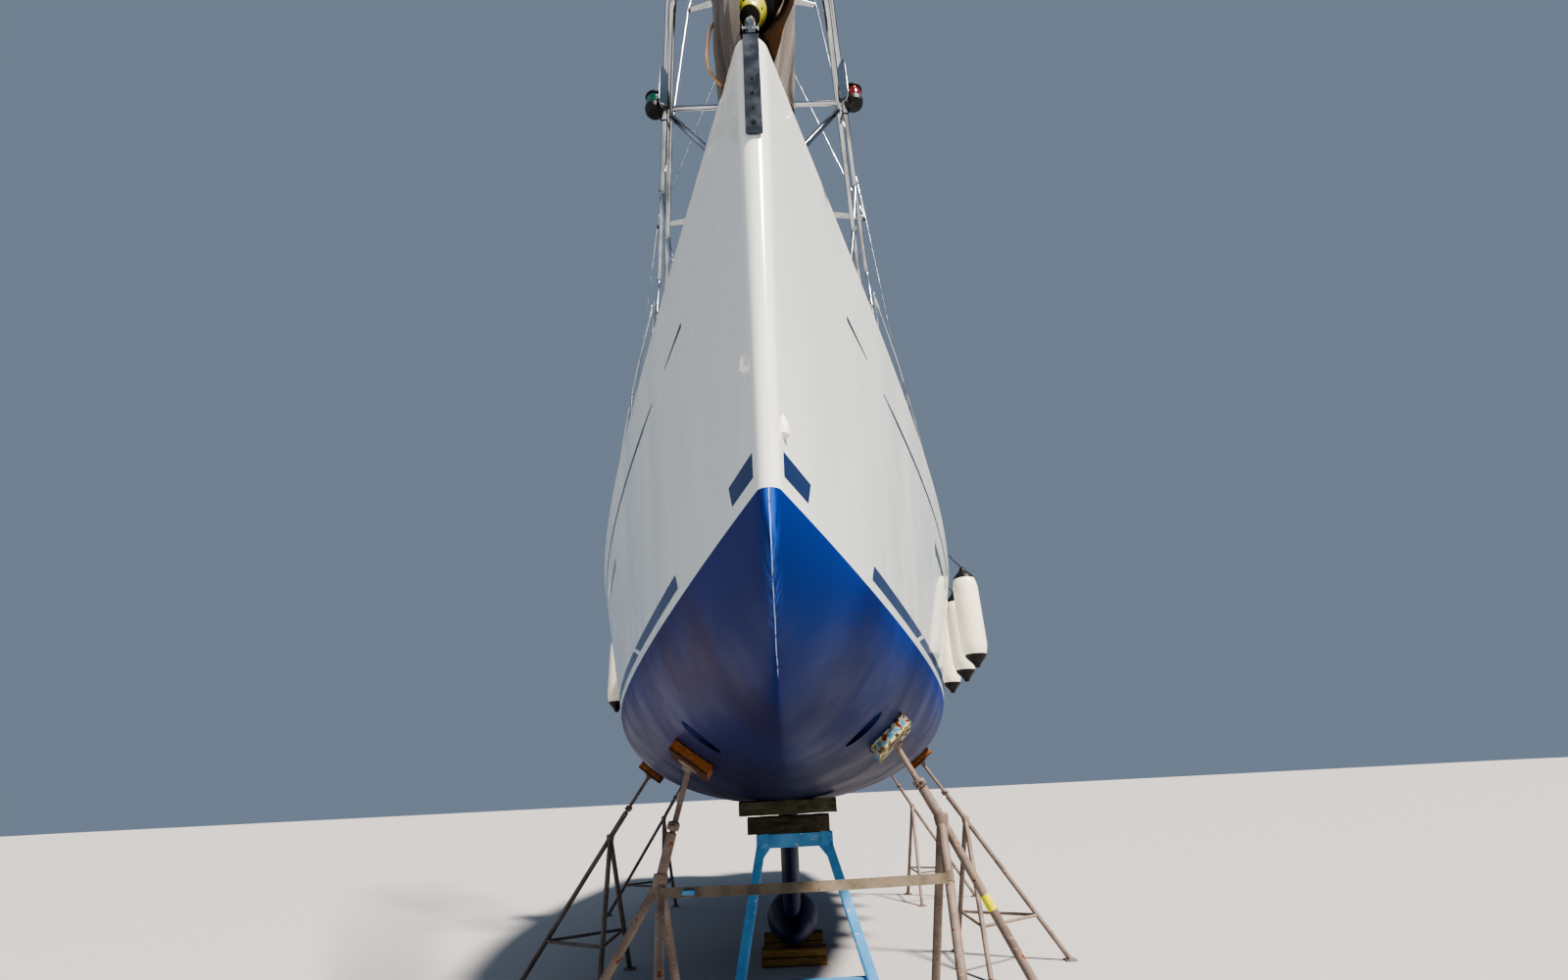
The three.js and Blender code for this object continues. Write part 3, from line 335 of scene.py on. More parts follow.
def rounded(u0, u1, v0, v1, radius, steps=5):
    """The outline of a rectangle with round corners."""
    centres = ((u1 - radius, v0 + radius), (u1 - radius, v1 - radius), (u0 + radius, v1 - radius),
               (u0 + radius, v0 + radius))
    return [point for k, centre in enumerate(centres)
            for point in arc(centre, radius, 90 * k - 90, 90 * k, steps)]


def round_bar(start, end, radius, sides=48):
    return turned([(radius, 0), (radius, (end - start).length)], start, end - start, sides)


# Pieces

def mesh_of(name, forms, material=None, weld=False):
    """One mesh from closed forms; a form may come with its own material as a pair."""
    mesh = bpy.data.meshes.new(name)
    points, faces, marks, materials = [], [], [], []
    for entry in forms:
        form, own = entry if isinstance(entry[1], bpy.types.Material) else (entry, material)
        if own not in materials:
            materials.append(own)
        start = len(points)
        points.extend(tuple(p) for p in form[0])
        faces.extend(tuple(start + k for k in face) for face in form[1])
        marks.extend([materials.index(own)] * len(form[1]))
    mesh.from_pydata(points, [], faces)
    mesh.polygons.foreach_set("material_index", marks)
    for own in filter(None, materials):
        mesh.materials.append(own)
    work = bmesh.new()
    work.from_mesh(mesh)
    if weld:
        bmesh.ops.remove_doubles(work, verts=work.verts, dist=1e-6)
    bmesh.ops.recalc_face_normals(work, faces=work.faces)
    work.to_mesh(mesh)
    work.free()
    return mesh


def shade(mesh, crease):
    mesh.shade_smooth()
    mesh.set_sharp_from_angle(angle=radians(crease))


def shown(name, data):
    thing = bpy.data.objects.new(name, data)
    bpy.context.scene.collection.objects.link(thing)
    return thing


def piece(name, forms, material, body="root", stands_for=(), bevel=0.0, crease=35):
    mesh = mesh_of(name, forms, material, weld=True)
    shade(mesh, crease)
    thing = shown(name, mesh)
    if bevel:
        rounding = thing.modifiers.new("rounding", "BEVEL")
        rounding.width = bevel
        rounding.segments = 2
        rounding.limit_method = "ANGLE"
        rounding.angle_limit = radians(crease)
        rounding.harden_normals = True
    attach(thing, body)
    if stands_for:
        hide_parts(*stands_for)
    return thing


def carved(form, cutters, how="DIFFERENCE"):
    """A form after one boolean with each of the cutters."""
    main = shown("carved", mesh_of("carved", [form]))
    helpers = [main]
    for cutter in cutters:
        helpers.append(shown("cutter", mesh_of("cutter", [cutter])))
        change = main.modifiers.new("change", "BOOLEAN")
        change.operation = how
        change.object = helpers[-1]
        change.solver = "MANIFOLD"
    done = main.evaluated_get(bpy.context.evaluated_depsgraph_get()).to_mesh()
    result = ([v.co.copy() for v in done.vertices], [tuple(f.vertices) for f in done.polygons])
    for helper in helpers:
        bpy.data.meshes.remove(helper.data)
    return result


def joined(forms):
    """The union of closed forms that overlap, as one form."""
    return carved(forms[0], forms[1:], "UNION")


def halved(form, z, above):
    """The part of a closed form above or below a height, closed again."""
    work = bmesh.new()
    mesh = mesh_of("halved", [form])
    work.from_mesh(mesh)
    bpy.data.meshes.remove(mesh)
    whole = work.verts[:] + work.edges[:] + work.faces[:]
    cut = bmesh.ops.bisect_plane(work, geom=whole, dist=1e-5, plane_co=(0, 0, z), plane_no=UP,
                                 clear_inner=above, clear_outer=not above)
    rim = [e for e in cut["geom_cut"] if isinstance(e, bmesh.types.BMEdge)]
    bmesh.ops.holes_fill(work, edges=rim)
    result = ([v.co.copy() for v in work.verts], [tuple(v.index for v in f.verts) for f in work.faces])
    work.free()
    return result


def largest(form):
    """The biggest connected piece of a form."""
    points, faces = form
    owner = list(range(len(points)))

    def root(k):
        while owner[k] != k:
            owner[k] = owner[owner[k]]
            k = owner[k]
        return k

    for face in faces:
        for k in face[1:]:
            owner[root(k)] = root(face[0])
    sizes = {}
    for face in faces:
        sizes[root(face[0])] = sizes.get(root(face[0]), 0) + 1
    best = max(sizes, key=sizes.get)
    kept = [face for face in faces if root(face[0]) == best]
    used = sorted({k for face in kept for k in face})
    fresh = {old: new for new, old in enumerate(used)}
    return [points[k] for k in used], [tuple(fresh[k] for k in face) for face in kept]


# Materials

def linear(hex_colour):
    """A colour written as six hex digits, as the shader's numbers."""
    parts = [int(hex_colour[k:k + 2], 16) / 255 for k in (0, 2, 4)]
    return [c / 12.92 if c <= 0.04045 else ((c + 0.055) / 1.055) ** 2.4 for c in parts] + [1.0]


class Look:
    """A node material that is built up step by step: its colour is tinted with one layer after another."""

    def __init__(self, name, colour, roughness=0.5, metallic=0.0, **sockets):
        self.tone = colour
        self.material = bpy.data.materials.new(name)
        self.material.use_nodes = True
        self.tree = self.material.node_tree
        self.shader = self.tree.nodes["Principled BSDF"].inputs
        for socket, value in {"roughness": roughness, "metallic": metallic, **sockets}.items():
            self.shader[socket.replace("_", " ").title()].default_value = value
        self.place = self.node("TexCoord", "Object", {})

    def feed(self, socket, value):
        if isinstance(value, bpy.types.NodeSocket):
            self.tree.links.new(value, socket)
        else:
            socket.default_value = linear(value) if isinstance(value, str) else value

    def node(self, kind, output, inputs, **settings):
        """One of the outputs of a new node with these inputs."""
        made = self.tree.nodes.new("ShaderNode" + kind)
        for name, value in settings.items():
            setattr(made, name, value)
        for socket, value in inputs.items():
            self.feed(made.inputs[socket], value)
        return made.outputs[output]

    def noise(self, scale, detail=4.0, stretch=None, rough=0.55, warp=0.0):
        place = self.place
        if stretch:
            place = self.node("Mapping", "Vector", {"Vector": self.place, "Scale": stretch})
        return self.node("TexNoise", "Fac", {"Vector": place, "Scale": scale, "Detail": detail,
                                             "Roughness": rough, "Distortion": warp})

    def wave(self, scale, axis):
        inputs = {"Vector": self.place, "Scale": scale, "Distortion": 0.0}
        return self.node("TexWave", "Fac", inputs, bands_direction=axis, wave_profile="SIN")

    def coordinate(self, axis):
        return self.node("SeparateXYZ", axis, {"Vector": self.place})

    def sum(self, operation, first, second=0.0):
        return self.node("Math", 0, {0: first, 1: second}, operation=operation)

    def times(self, first, second):
        return self.sum("MULTIPLY", first, second)

    def plus(self, first, second):
        return self.sum("ADD", first, second)

    def between(self, value, low, high, to_low=0.0, to_high=1.0):
        """A value's share of the way from low to high, as a number from to_low to to_high."""
        inputs = {"Value": value, "From Min": low, "From Max": high, "To Min": to_low, "To Max": to_high}
        return self.node("MapRange", "Result", inputs, interpolation_type="SMOOTHSTEP")

    def mix(self, share, first, second):
        return self.node("Mix", "Result", {"Factor": share, "A": first, "B": second}, data_type="RGBA")

    def cover(self, share, colour):
        self.tone = self.mix(share, self.tone, colour)
        self.feed(self.shader["Base Color"], self.tone)

    def tint(self, value, low, high, colour, most=1.0):
        """Covers what is there with a colour, by how far a value is from low to high."""
        self.cover(self.between(value, low, high, 0, most), colour)

    def rough(self, value, low, high, to_low, to_high):
        self.feed(self.shader["Roughness"], self.between(value, low, high, to_low, to_high))

    def relief(self, height, depth, strength):
        bump = self.node("Bump", "Normal", {"Strength": strength, "Distance": depth, "Height": height})
        self.feed(self.shader["Normal"], bump)
        return self.material


def gelcoat_look(name, colour="EBEFEA", dull="E0E7E7", stain="CCD3D0", roughness=0.2):
    look = Look(name, colour, roughness, coat_weight=0.5, coat_roughness=0.05)
    look.tint(look.noise(0.9, 2, (1, 1, 0.3)), 0.35, 0.7, dull)
    look.tint(look.noise(5, 4, (2, 2, 0.12)), 0.58, 0.8, stain, 0.14)
    look.rough(look.noise(3, 3, (1, 1, 0.4)), 0.3, 0.75, roughness, roughness + 0.1)
    return look.relief(look.noise(1.3, 1, (1, 1, 0.35)), 0.02, 0.15)


def antifouling_look():
    """Strong blue to port and greyer to starboard, painted light and shade; a purple-red patch to starboard,
    a painted reflection of the ground; darker low down, painted shade; with brush marks and a pale seam on
    the stem.
    """
    look = Look("antifouling", None, 0.45)
    look.shader["Specular IOR Level"].default_value = 0.12
    across, aft, height = (look.coordinate(axis) for axis in "XYZ")
    broad = look.noise(0.8, 2, (1, 1, 0.7), 0.5, 0.4)
    sunlit_blue = look.mix(look.between(broad, 0.35, 0.68), "183888", "12286C")
    look.tone = look.mix(look.between(broad, 0.38, 0.66), "3D447C", "433E62")
    # Strong blue to port and greyer blue-purple to starboard: painted sunlight on the port side and painted
    # shade on the starboard side.
    look.tint(across, -0.06, 0.03, sunlit_blue)
    # Purple-red patch that grows towards starboard: a painted reflection of the ground.
    ground_reflection = look.times(look.between(look.noise(0.75, 3, (1, 1, 1.2), 0.5, 0.5), 0.45, 0.7),
                       look.between(across, 0.1, -0.35))
    look.cover(look.times(ground_reflection, 0.6), "5E3A44")
    # Darker lower down, and more so to starboard: painted shade under the hull.
    look.tint(height, 2.35, 2.0, "101E4C", 0.4)
    look.tint(look.plus(height, look.times(across, -0.14)), 2.05, 1.55, "1E1F33", 0.75)
    brushed = look.between(look.noise(40, 4, (1, 1, 0.12)), 0.4, 0.65)
    head = look.times(brushed, look.between(look.sum("ABSOLUTE", across), 0.03, 0.0))
    head = look.times(head, look.between(aft, 0.36 - MIDDLE, 0.05 - MIDDLE))
    look.cover(look.times(head, 0.5), "4C7CDC")
    waver = look.times(look.sum("SUBTRACT", look.noise(9, 3), 0.5), 0.006)
    reach = look.between(aft, 0.47 - MIDDLE, 0.4 - MIDDLE, 0.0, 0.0013)
    seam = look.sum("LESS_THAN", look.sum("ABSOLUTE", look.plus(across, waver)), reach)
    look.cover(look.times(seam, look.between(look.noise(34, 3), 0.34, 0.5, 0.1, 0.85)), "BFCBEA")
    look.rough(look.noise(2.5, 3), 0.3, 0.7, 0.42, 0.54)
    return look.relief(look.noise(2.0, 1), 0.012, 0.12)


def metal_look(name, colour, dark, roughness=0.18, brushed=(1, 1, 1)):
    look = Look(name, colour, roughness, 1.0)
    look.tint(look.noise(3.5, 3, brushed), 0.4, 0.75, dark)
    look.rough(look.noise(14, 3, brushed), 0.3, 0.75, roughness, roughness + 0.14)
    return look.relief(look.noise(90, 2, brushed), 0.0001, 0.12)


def plastic_look(name, colour, worn, roughness=0.45):
    look = Look(name, colour, roughness)
    look.tint(look.noise(25, 5), 0.5, 0.78, worn, 0.6)
    look.rough(look.noise(60, 4), 0.3, 0.7, roughness - 0.1, roughness + 0.15)
    return look.relief(look.noise(400, 2), 0.0002, 0.4)


def glass_look(name):
    look = Look(name, "0E1318", 0.06, coat_weight=1.0, coat_roughness=0.03)
    look.tint(look.noise(2, 2), 0.35, 0.7, "1C252C")
    look.rough(look.noise(30, 4), 0.4, 0.8, 0.05, 0.16)
    return look.material


def lens_look(name, colour, deep):
    look = Look(name, colour, 0.08, coat_weight=1.0, coat_roughness=0.03, transmission_weight=0.35)
    ribs = look.wave(70, "Z")
    look.cover(ribs, deep)
    return look.relief(ribs, 0.001, 0.5)


def cloth_look(name, colour, dark, light):
    look = Look(name, colour, 0.85, sheen_weight=0.35, sheen_roughness=0.5)
    look.tint(look.noise(3, 5, (1, 1, 0.5)), 0.3, 0.72, dark)
    look.tint(look.noise(11, 6, (1, 1, 0.35), 0.65), 0.55, 0.8, light, 0.45)
    threads = look.plus(look.wave(900, "Z"), look.wave(900, "DIAGONAL"))
    return look.relief(look.plus(look.times(threads, 0.25), look.noise(38, 4)), 0.0012, 0.5)


def timber_look(name, colour, dark, pale, along="X"):
    stretch = {"X": (0.12, 1, 1), "Y": (1, 0.12, 1)}[along]
    look = Look(name, colour, 0.85)
    grain, broad = look.noise(55, 6, stretch, 0.65, 0.8), look.noise(5, 4)
    look.tint(grain, 0.35, 0.7, dark)
    look.tint(broad, 0.5, 0.75, pale, 0.5)
    look.tint(look.noise(14, 6, None, 0.7), 0.62, 0.72, "231C16", 0.7)
    return look.relief(look.plus(grain, look.times(broad, 0.5)), 0.004, 0.6)


def chipped_look(name, coat, shade_coat, under, rust, amount=0.62, roughness=0.5):
    """Old paint with chips down to primer and rust."""
    look = Look(name, coat, roughness)
    look.tint(look.noise(6, 4), 0.35, 0.7, shade_coat)
    chips = look.noise(26, 8, None, 0.7, 0.3)
    look.tint(chips, amount, amount + 0.02, under)
    look.tint(chips, amount + 0.035, amount + 0.05, rust)
    look.tint(look.noise(12, 5, (2, 2, 0.15)), 0.6, 0.8, rust, 0.4)
    look.rough(chips, amount - 0.05, amount + 0.05, roughness, 0.9)
    height = look.sum("SUBTRACT", look.times(look.noise(180, 3), 0.3),
                      look.between(chips, amount, amount + 0.03))
    return look.relief(height, 0.0015, 0.6)


def webbing_look(name, colour, dark, dirt):
    look = Look(name, colour, 0.9, sheen_weight=0.2)
    look.tint(look.noise(8, 5), 0.35, 0.7, dark)
    look.tint(look.noise(30, 6, None, 0.7), 0.55, 0.75, dirt, 0.7)
    return look.relief(look.plus(look.wave(220, "X"), look.wave(220, "Z")), 0.0012, 0.6)


def rubbed_look(name, colour, mark):
    """Fender vinyl with scuffs and grey smears."""
    look = Look(name, colour, 0.42, coat_weight=0.15, coat_roughness=0.3)
    look.tint(look.noise(6, 6, (1, 1, 0.4), 0.65, 0.5), 0.5, 0.78, mark, 0.55)
    look.tint(look.noise(45, 5, (3, 3, 0.4)), 0.62, 0.78, "8C8778", 0.45)
    return look.relief(look.noise(120, 4), 0.0006, 0.5)


GELCOAT = gelcoat_look("gelcoat")
STRIPE = gelcoat_look("stripe", "0E2C62", "0B2652", "214C86", 0.3)
DECK_GEL = gelcoat_look("deck_gelcoat", "E7E5DC", "DAD7CC", "C4C0B2", 0.42)
NONSKID = plastic_look("nonskid", "CFCDC4", "BDBBB2", 0.8)
ANTIFOULING = antifouling_look()
STEEL = metal_look("stainless", "C9CDD1", "8D9297", 0.14)
STEEL_DULL = metal_look("stainless_dull", "A4A8AC", "5E6266", 0.25)
# Stainless darkened for the forestay strap: painted shade.
STRAP_STEEL_SHADED = metal_look("strap_steel_painted_shade", "5A616C", "484E57", 0.28)
SCREW_STEEL = metal_look("strap_screws", "23262B", "1A1C20", 0.4)
ALLOY = metal_look("spar_alloy", "C4C7C9", "A8ABAE", 0.32, (6, 6, 0.2))
BRONZE = metal_look("bronze", "9A7B4A", "5F4B2C", 0.35)
BLACK = plastic_look("black_plastic", "141518", "34363A")
GLASS = glass_look("tinted_glass")
RED = lens_look("red_lens", "B02A20", "55100C")
GREEN = lens_look("green_lens", "1C7A62", "0A3A30")
CANVAS = cloth_look("canvas", "493F39", "352D28", "5D534C")
# Light tan for the skirt's inner face: a painted glow, as if sunlight came through the cloth.
CANVAS_LIT_THROUGH = cloth_look("canvas_inside_painted_glow", "D2A06C", "B08050", "DDB284")
VINYL = rubbed_look("fender_vinyl", "EFE9D6", "C9C2AC")
TRESTLE = chipped_look("trestle_blue", "5F9CCB", "4B87B8", "D3DFE6", "6A4634")
PROP = chipped_look("prop_steel", "8A7C73", "6E625B", "A39A92", "7A4B31", 0.56, 0.6)
TIMBER = timber_look("dark_timber", "4B4636", "2C261D", "6A6350")
YELLOW = timber_look("yellow_timber", "A8854F", "755A34", "C4A574")
ENGINE = plastic_look("engine_grey", "7F8589", "5C6165", 0.5)
TEAK = timber_look("teak", "A8814F", "7C5B33", "BC9A6C", "Y")
COVE = gelcoat_look("cove_blue", "121F3A", "0E182E", "26344F", 0.3)
ROPE_WHITE = webbing_look("white_line", "D8D4C8", "B9B4A6", "8E897C")
ROPE_TAN = webbing_look("tan_line", "D3A783", "AE8059", "8C6440")
ROPE_NAVY = webbing_look("navy_line", "262B3A", "181C28", "4A4F5C")
LIME = plastic_look("lime_plastic", "B4B44C", "97993F", 0.4)
VENT_WHITE = plastic_look("white_plastic", "F4F3EE", "D2D0C8", 0.35)
WEBBING = webbing_look("beige_webbing", "8D8272", "6B6255", "483F35")
TAPE = plastic_look("yellow_tape", "D9D32A", "B7AE3C", 0.4)
WEB_DARK = webbing_look("dark_webbing", "3B352F", "2A2622", "5A5148")
LEATHER = plastic_look("wheel_leather", "2B2D31", "44464B", 0.55)
TIMBER_OLIVE = timber_look("olive_timber", "5A5A45", "38382B", "77765F")
BOARD_BROWN = (timber_look("brown_board", "5B3A22", "3A2415", "7A5233", "Y"),
               timber_look("board_edge", "A3683A", "6E4222", "C08A55", "Y"))
BOARD_CREAM = (chipped_look("cream_board", "CFC79A", "B3AC84", "5E6B4C", "4A3A2A", 0.5, 0.8),
               chipped_look("blue_board_edge", "4F93B8", "3C7391", "D9CFA8", "6A3524", 0.5, 0.8))

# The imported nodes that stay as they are
for name, look in (("shaft_bracket", BRONZE), ("thruster_leg", BRONZE), ("thruster_propeller", BLACK),
                   ("engine", ENGINE)):
    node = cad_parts[name]
    node.data.materials.clear()
    node.data.materials.append(look)
    shade(node.data, 32)


# Hull, split at the paint line

NOSE_STATIONS = [STEM_RADIUS["deck"] * (1 - cos(pi / 2 * k / 12)) for k in range(13)]
HULL_STATIONS = NOSE_STATIONS + spaced(STEM_RADIUS["deck"], 14.1, 104, 1.3)[1:]
HULL_TOUCH = -0.0003
SKY = 5
# Half width, fore, aft and floor of the cockpit's wells, the steps through the transom and the companionway
HULL_WELLS = ((1.15, 9.3, 11.7, 3.38), (0.42, 9.35, 11.701, 2.95), (1.45, 11.7, 13.33, 3.0),
              (0.45, 13.2, 15, 2.84), (0.45, 13.43, 15, 2.62), (0.32, 9.0, 9.301, 3.45))
# The same openings in the deck, each with its top
DECK_WELLS = ((1.15, 9.2, 9.301, 3.7, 3.9), (1.15, 9.3, 11.7, 3.3, 3.9), (1.45, 11.699, 13.33, 3.3, 4.4),
              (0.45, 13.2, 15, 3.3, 4.4), (0.32, 8.3, 9.26, 3.45, 4.4))
# Name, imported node, fore, aft and half width of the hatches
HATCHES = (("bow_hatch", "forward_hatch", 2.3, 2.85, 0.28), ("saloon_hatch", "roof_hatch", 6.25, 6.8, 0.26))
HATCH_GAP = 0.006
LID = {"fore": 0.7, "aft": 1.6, "fore_half": 0.19, "aft_half": 0.43}
RUDDER_S = 12.75


def hull_body(inset=0.0, rise=0.0, stations=HULL_STATIONS, walls=8, bilge=26):
    return loft([hull_ring(s, inset, rise, walls, bilge) for s in stations])


def near_hull(s0, s1, count):
    """The hull over a part of its length, to cut what stands against it."""
    return hull_body(HULL_TOUCH, 0, spaced(s0, s1, count))


def side_slab(side, outline, inner, outer):
    return slab("x", outline, *sorted((side * inner, side * outer)))


def transom_cutter():
    return slab("x", [(14.4, 1.0), (13.233, 4.5), (15.5, 4.5), (15.5, 1.0)], -3, 3)


def hull_window_cutter(side, grow=0.0):
    low, sill, head = 3.27, 3.215 + grow, 3.345 - grow
    return side_slab(side, [(3.39 + grow, low), (3.45, head), (4.7, head - 0.015), (4.76 - grow, low),
                            (4.7, sill), (3.45, sill)], 0.6, 2.5)


def roof_window_cutter(side, grow=0.0):
    return side_slab(side, [(4.75 - grow, 3.862), (5.5, 3.975 + grow), (8.3, 4.015 + grow),
                            (8.48 + grow, 3.96), (8.3, 3.85 - grow), (5.1, 3.85 - grow)], 0.5, 2)


def lid_outline(margin):
    front, aft = LID["fore"] - margin, LID["aft"] + margin
    narrow, wide = LID["fore_half"] + margin, LID["aft_half"] + margin
    return [(-narrow, front), (narrow, front), (wide, aft), (-wide, aft)]


def make_hull():
    cabin = carved(hull_body(SKIN, 0.2, spaced(CABIN["front"], CABIN["aft"], 30), 4, 14),
                   [block(-3, 3, 3, 9.5, CABIN["sole"], SKY)], "INTERSECT")
    tunnel = [at(x, TUNNEL["s"], TUNNEL["z"]) for x in (-0.9, 0.9)]
    whole = carved(hull_body(), [
        transom_cutter(), cabin, *(block(-x, x, fore, aft, floor, SKY) for x, fore, aft, floor in HULL_WELLS),
        slab("z", lid_outline(-0.04), 3.5, SKY), round_bar(*tunnel, TUNNEL["r"]),
        round_bar(at(0, RUDDER_S, 1.5), at(0, RUDDER_S, 2.8), 0.046),
        round_bar(shaft_point(-0.02), shaft_point(1.2), 0.022),
        hull_window_cutter(1), hull_window_cutter(-1)])
    for name, above, look in (("topsides", True, GELCOAT), ("bottom", False, ANTIFOULING)):
        piece("hull_" + name, [halved(whole, PAINT_Z, above)], look, stands_for=["hull"],
              crease=28)


make_hull()


# Plates on the hull and sheets on the deck

def hull_point(side, s, z, lift=0.0):
    """A point on the hull's outer face, or lifted off it along the face's own direction."""
    step = 0.001
    before = max(s - step, 0)
    run = (hull_half(s + step, z) - hull_half(before, z)) / (s + step - before)
    climb = (hull_half(s, z + step) - hull_half(s, z - step)) / (2 * step)
    place = at(hull_half(s, z), s, z) + off(1, -run, -climb).normalized() * lift
    return off(side * place.x, place.y, place.z)


def hull_plate(side, low, high, along, up):
    """A thin plate on the hull between two lines, each a function of a share from 0 to 1."""
    lift, sink = 0.0012, 0.002
    rings = []
    for share in spaced(0, 1, along):
        (s0, z0), (s1, z1) = low(share), high(share)
        line = [(s0 + (s1 - s0) * k / up, z0 + (z1 - z0) * k / up) for k in range(up + 1)]
        rings.append([hull_point(side, s, z, lift) for s, z in line]
                     + [hull_point(side, s, z, -sink) for s, z in reversed(line)])
    return loft(rings)


def deck_sheet(s0, s1, inner, outer, height, lift=0.002, steps=24, across=8):
    """A thin panel on deck or coachroof between two lines, given as half widths along it."""
    rings = []
    for s in spaced(s0, s1, steps):
        line = spaced(inner(s), outer(s), across)
        rings.append([at(x, s, height(x, s) + lift) for x in line]
                     + [at(x, s, height(x, s) - 0.004) for x in reversed(line)])
    return loft(rings)


# Deck, coachroof and coamings

def deck_plate():
    rings = []
    for s in HULL_STATIONS:
        half, low = deck_half(s), sheer(s) + 0.0003
        edge = sheer(s) + DECK_EDGE
        arch = [at(half * k / 8, s, edge + camber(s) * (1 - (k / 8) ** 2)) for k in range(-8, 9)]
        rings.append([at(-half, s, low), *arch, at(half, s, low)])
    return loft(rings)


def roof_body(inset, stations, drop):
    rings = []
    for s in stations:
        half, top, rise = roof_half(s) - inset, roof_top(s) - inset, roof_rise(s)
        shoulder = smooth([off(half, deck_top(s) - 0.045, 0), off(half - 0.11 * rise, top - 0.06 * rise, 0),
                           off(half - 0.21 * rise, top - 0.018 * rise, 0),
                           off(half * 0.4, top - 0.004 * rise, 0), off(0, top, 0)], 4)
        side = [(half, sheer(s) - drop), *((p.x, p.y) for p in shoulder)]
        rings.append([at(-x, s, z) for x, z in side] + [at(x, s, z) for x, z in reversed(side[:-1])])
    return loft(rings)


def roof_glass(side, grow):
    """The coachroof's wall within a window, 8 mm behind its face and 8 mm thick."""
    shell = carved(roof_body(0.008, spaced(3.7, 9.1, 48), 0.1),
                   [roof_body(0.016, spaced(3.65, 9.15, 48), 0.2)])
    return carved(shell, [roof_window_cutter(side, grow)], "INTERSECT")


def coaming(side):
    outline = [(9.15, sheer(9.15) + 0.01), (9.15, deck_top(9.15) + 0.3), (11.4, deck_top(11.9) + 0.24),
               (11.9, deck_top(11.9) + 0.02), (11.9, sheer(11.9) + 0.01)]
    return side_slab(side, outline, 1.15, 1.45)


def make_deck():
    mast_step = block(-0.17, 0.17, 4.59, 5.03, roof_top(4.59) - 0.06, roof_top(5.03) + 0.012)
    whole = joined([deck_plate(), roof_body(0, spaced(ROOF["front"], ROOF["aft"], 48), -0.01), mast_step,
                    coaming(1), coaming(-1)])
    hollow = roof_body(ROOF["wall"], spaced(4.2, ROOF["aft"] - ROOF["wall"], 30), 0.2)
    gap = HATCH_GAP
    cut = carved(whole, [
        hollow, transom_cutter(), *(block(-x, x, *sizes) for x, *sizes in DECK_WELLS),
        roof_window_cutter(1), roof_window_cutter(-1), slab("z", lid_outline(gap), 3.3, 4.4),
        *(block(-half - gap, half + gap, s0 - gap, s1 + gap, 3.3, 4.4) for *_, s0, s1, half in HATCHES)])
    piece("deck_moulding", [largest(cut)], DECK_GEL, stands_for=["deck"], bevel=0.006,
          crease=34)
    panels = []
    for side in (1, -1):
        def line(half, edge=0.0):
            return lambda s: side * (half(s) + edge) if callable(half) else side * half

        rim, crown = line(deck_half, -0.13), line(roof_half, -0.26)
        rows = (
            (1.72, 2.22, line(0.02), rim, deck_z, 24), (2.28, 2.88, line(0.33), rim, deck_z, 24),
            (2.94, 3.5, line(0.02), rim, deck_z, 24), (3.6, 9.1, line(roof_half, 0.05), rim, deck_z, 60),
            (9.2, 11.9, line(1.5), rim, deck_z, 30), (5.15, 6.15, line(0.02), crown, roof_z, 24),
            (6.9, 8.15, line(0.41), crown, roof_z, 24), (6.2, 6.85, line(0.3), crown, roof_z, 24))
        panels += [deck_sheet(*row[:-1], steps=row[-1]) for row in rows]
    piece("nonskid_panels", panels, NONSKID)


def make_deck_gear():
    """Mooring cleats, genoa tracks with their cars, handrails and rope clutches."""
    forms = []
    for side in (1, -1):
        for s in (1.75, 7.1, 12.2):
            x = side * (deck_half(s) - 0.15)
            base = at(x, s, deck_z(x, s))
            horn = [base + off(0, y, z)
                    for y, z in ((-0.12, 0.056), (-0.06, 0.047), (0.06, 0.047), (0.12, 0.056))]
            forms.append(tube(smooth(horn, 5), 0.0105))
            forms += [tube([base + off(0, step, -0.004), base + off(0, step, 0.046)], 0.011)
                      for step in (-0.035, 0.035)]
        forms.append(deck_sheet(5.3, 7.5, lambda s: side * (roof_half(s) + 0.21),
                                lambda s: side * (roof_half(s) + 0.24), deck_z, 0.014, 20, 2))
        x = roof_half(6.5) + 0.225
        car = at(side * x, 6.5, deck_z(x, 6.5) + 0.015)
        forms.append((box(car - off(0.028, 0.055, 0), car + off(0.028, 0.055, 0.03)), BLACK))
        forms.append(turned([(0, -0.012), (0.026, -0.012), (0.02, 0), (0.026, 0.012), (0, 0.012)],
                            car + UP * 0.05, PORT, 20))
        feet = [at(side * (roof_half(s) - 0.235), s, roof_top(s) - 0.024) for s in spaced(5.3, 8.0, 5)]
        rise, reach = UP * 0.075, AFT * 0.06
        forms.append(tube(smooth([feet[0] - reach, *(foot + rise for foot in feet), feet[-1] + reach], 6),
                          0.011))
        forms += [tube([foot, foot + rise], 0.0095, 10) for foot in feet]
        for k in range(4):
            clutch = at(side * (0.5 + 0.05 * k), 8.75, roof_z(0.6, 8.75))
            forms.append((box(clutch - off(0.019, 0.09, 0.004), clutch + off(0.019, 0.09, 0.042)), BLACK))
            forms.append((box(clutch + off(-0.012, -0.1, 0.044), clutch + off(0.012, 0.04, 0.052)), ALLOY))
    piece("deck_gear", forms, STEEL, bevel=0.001)


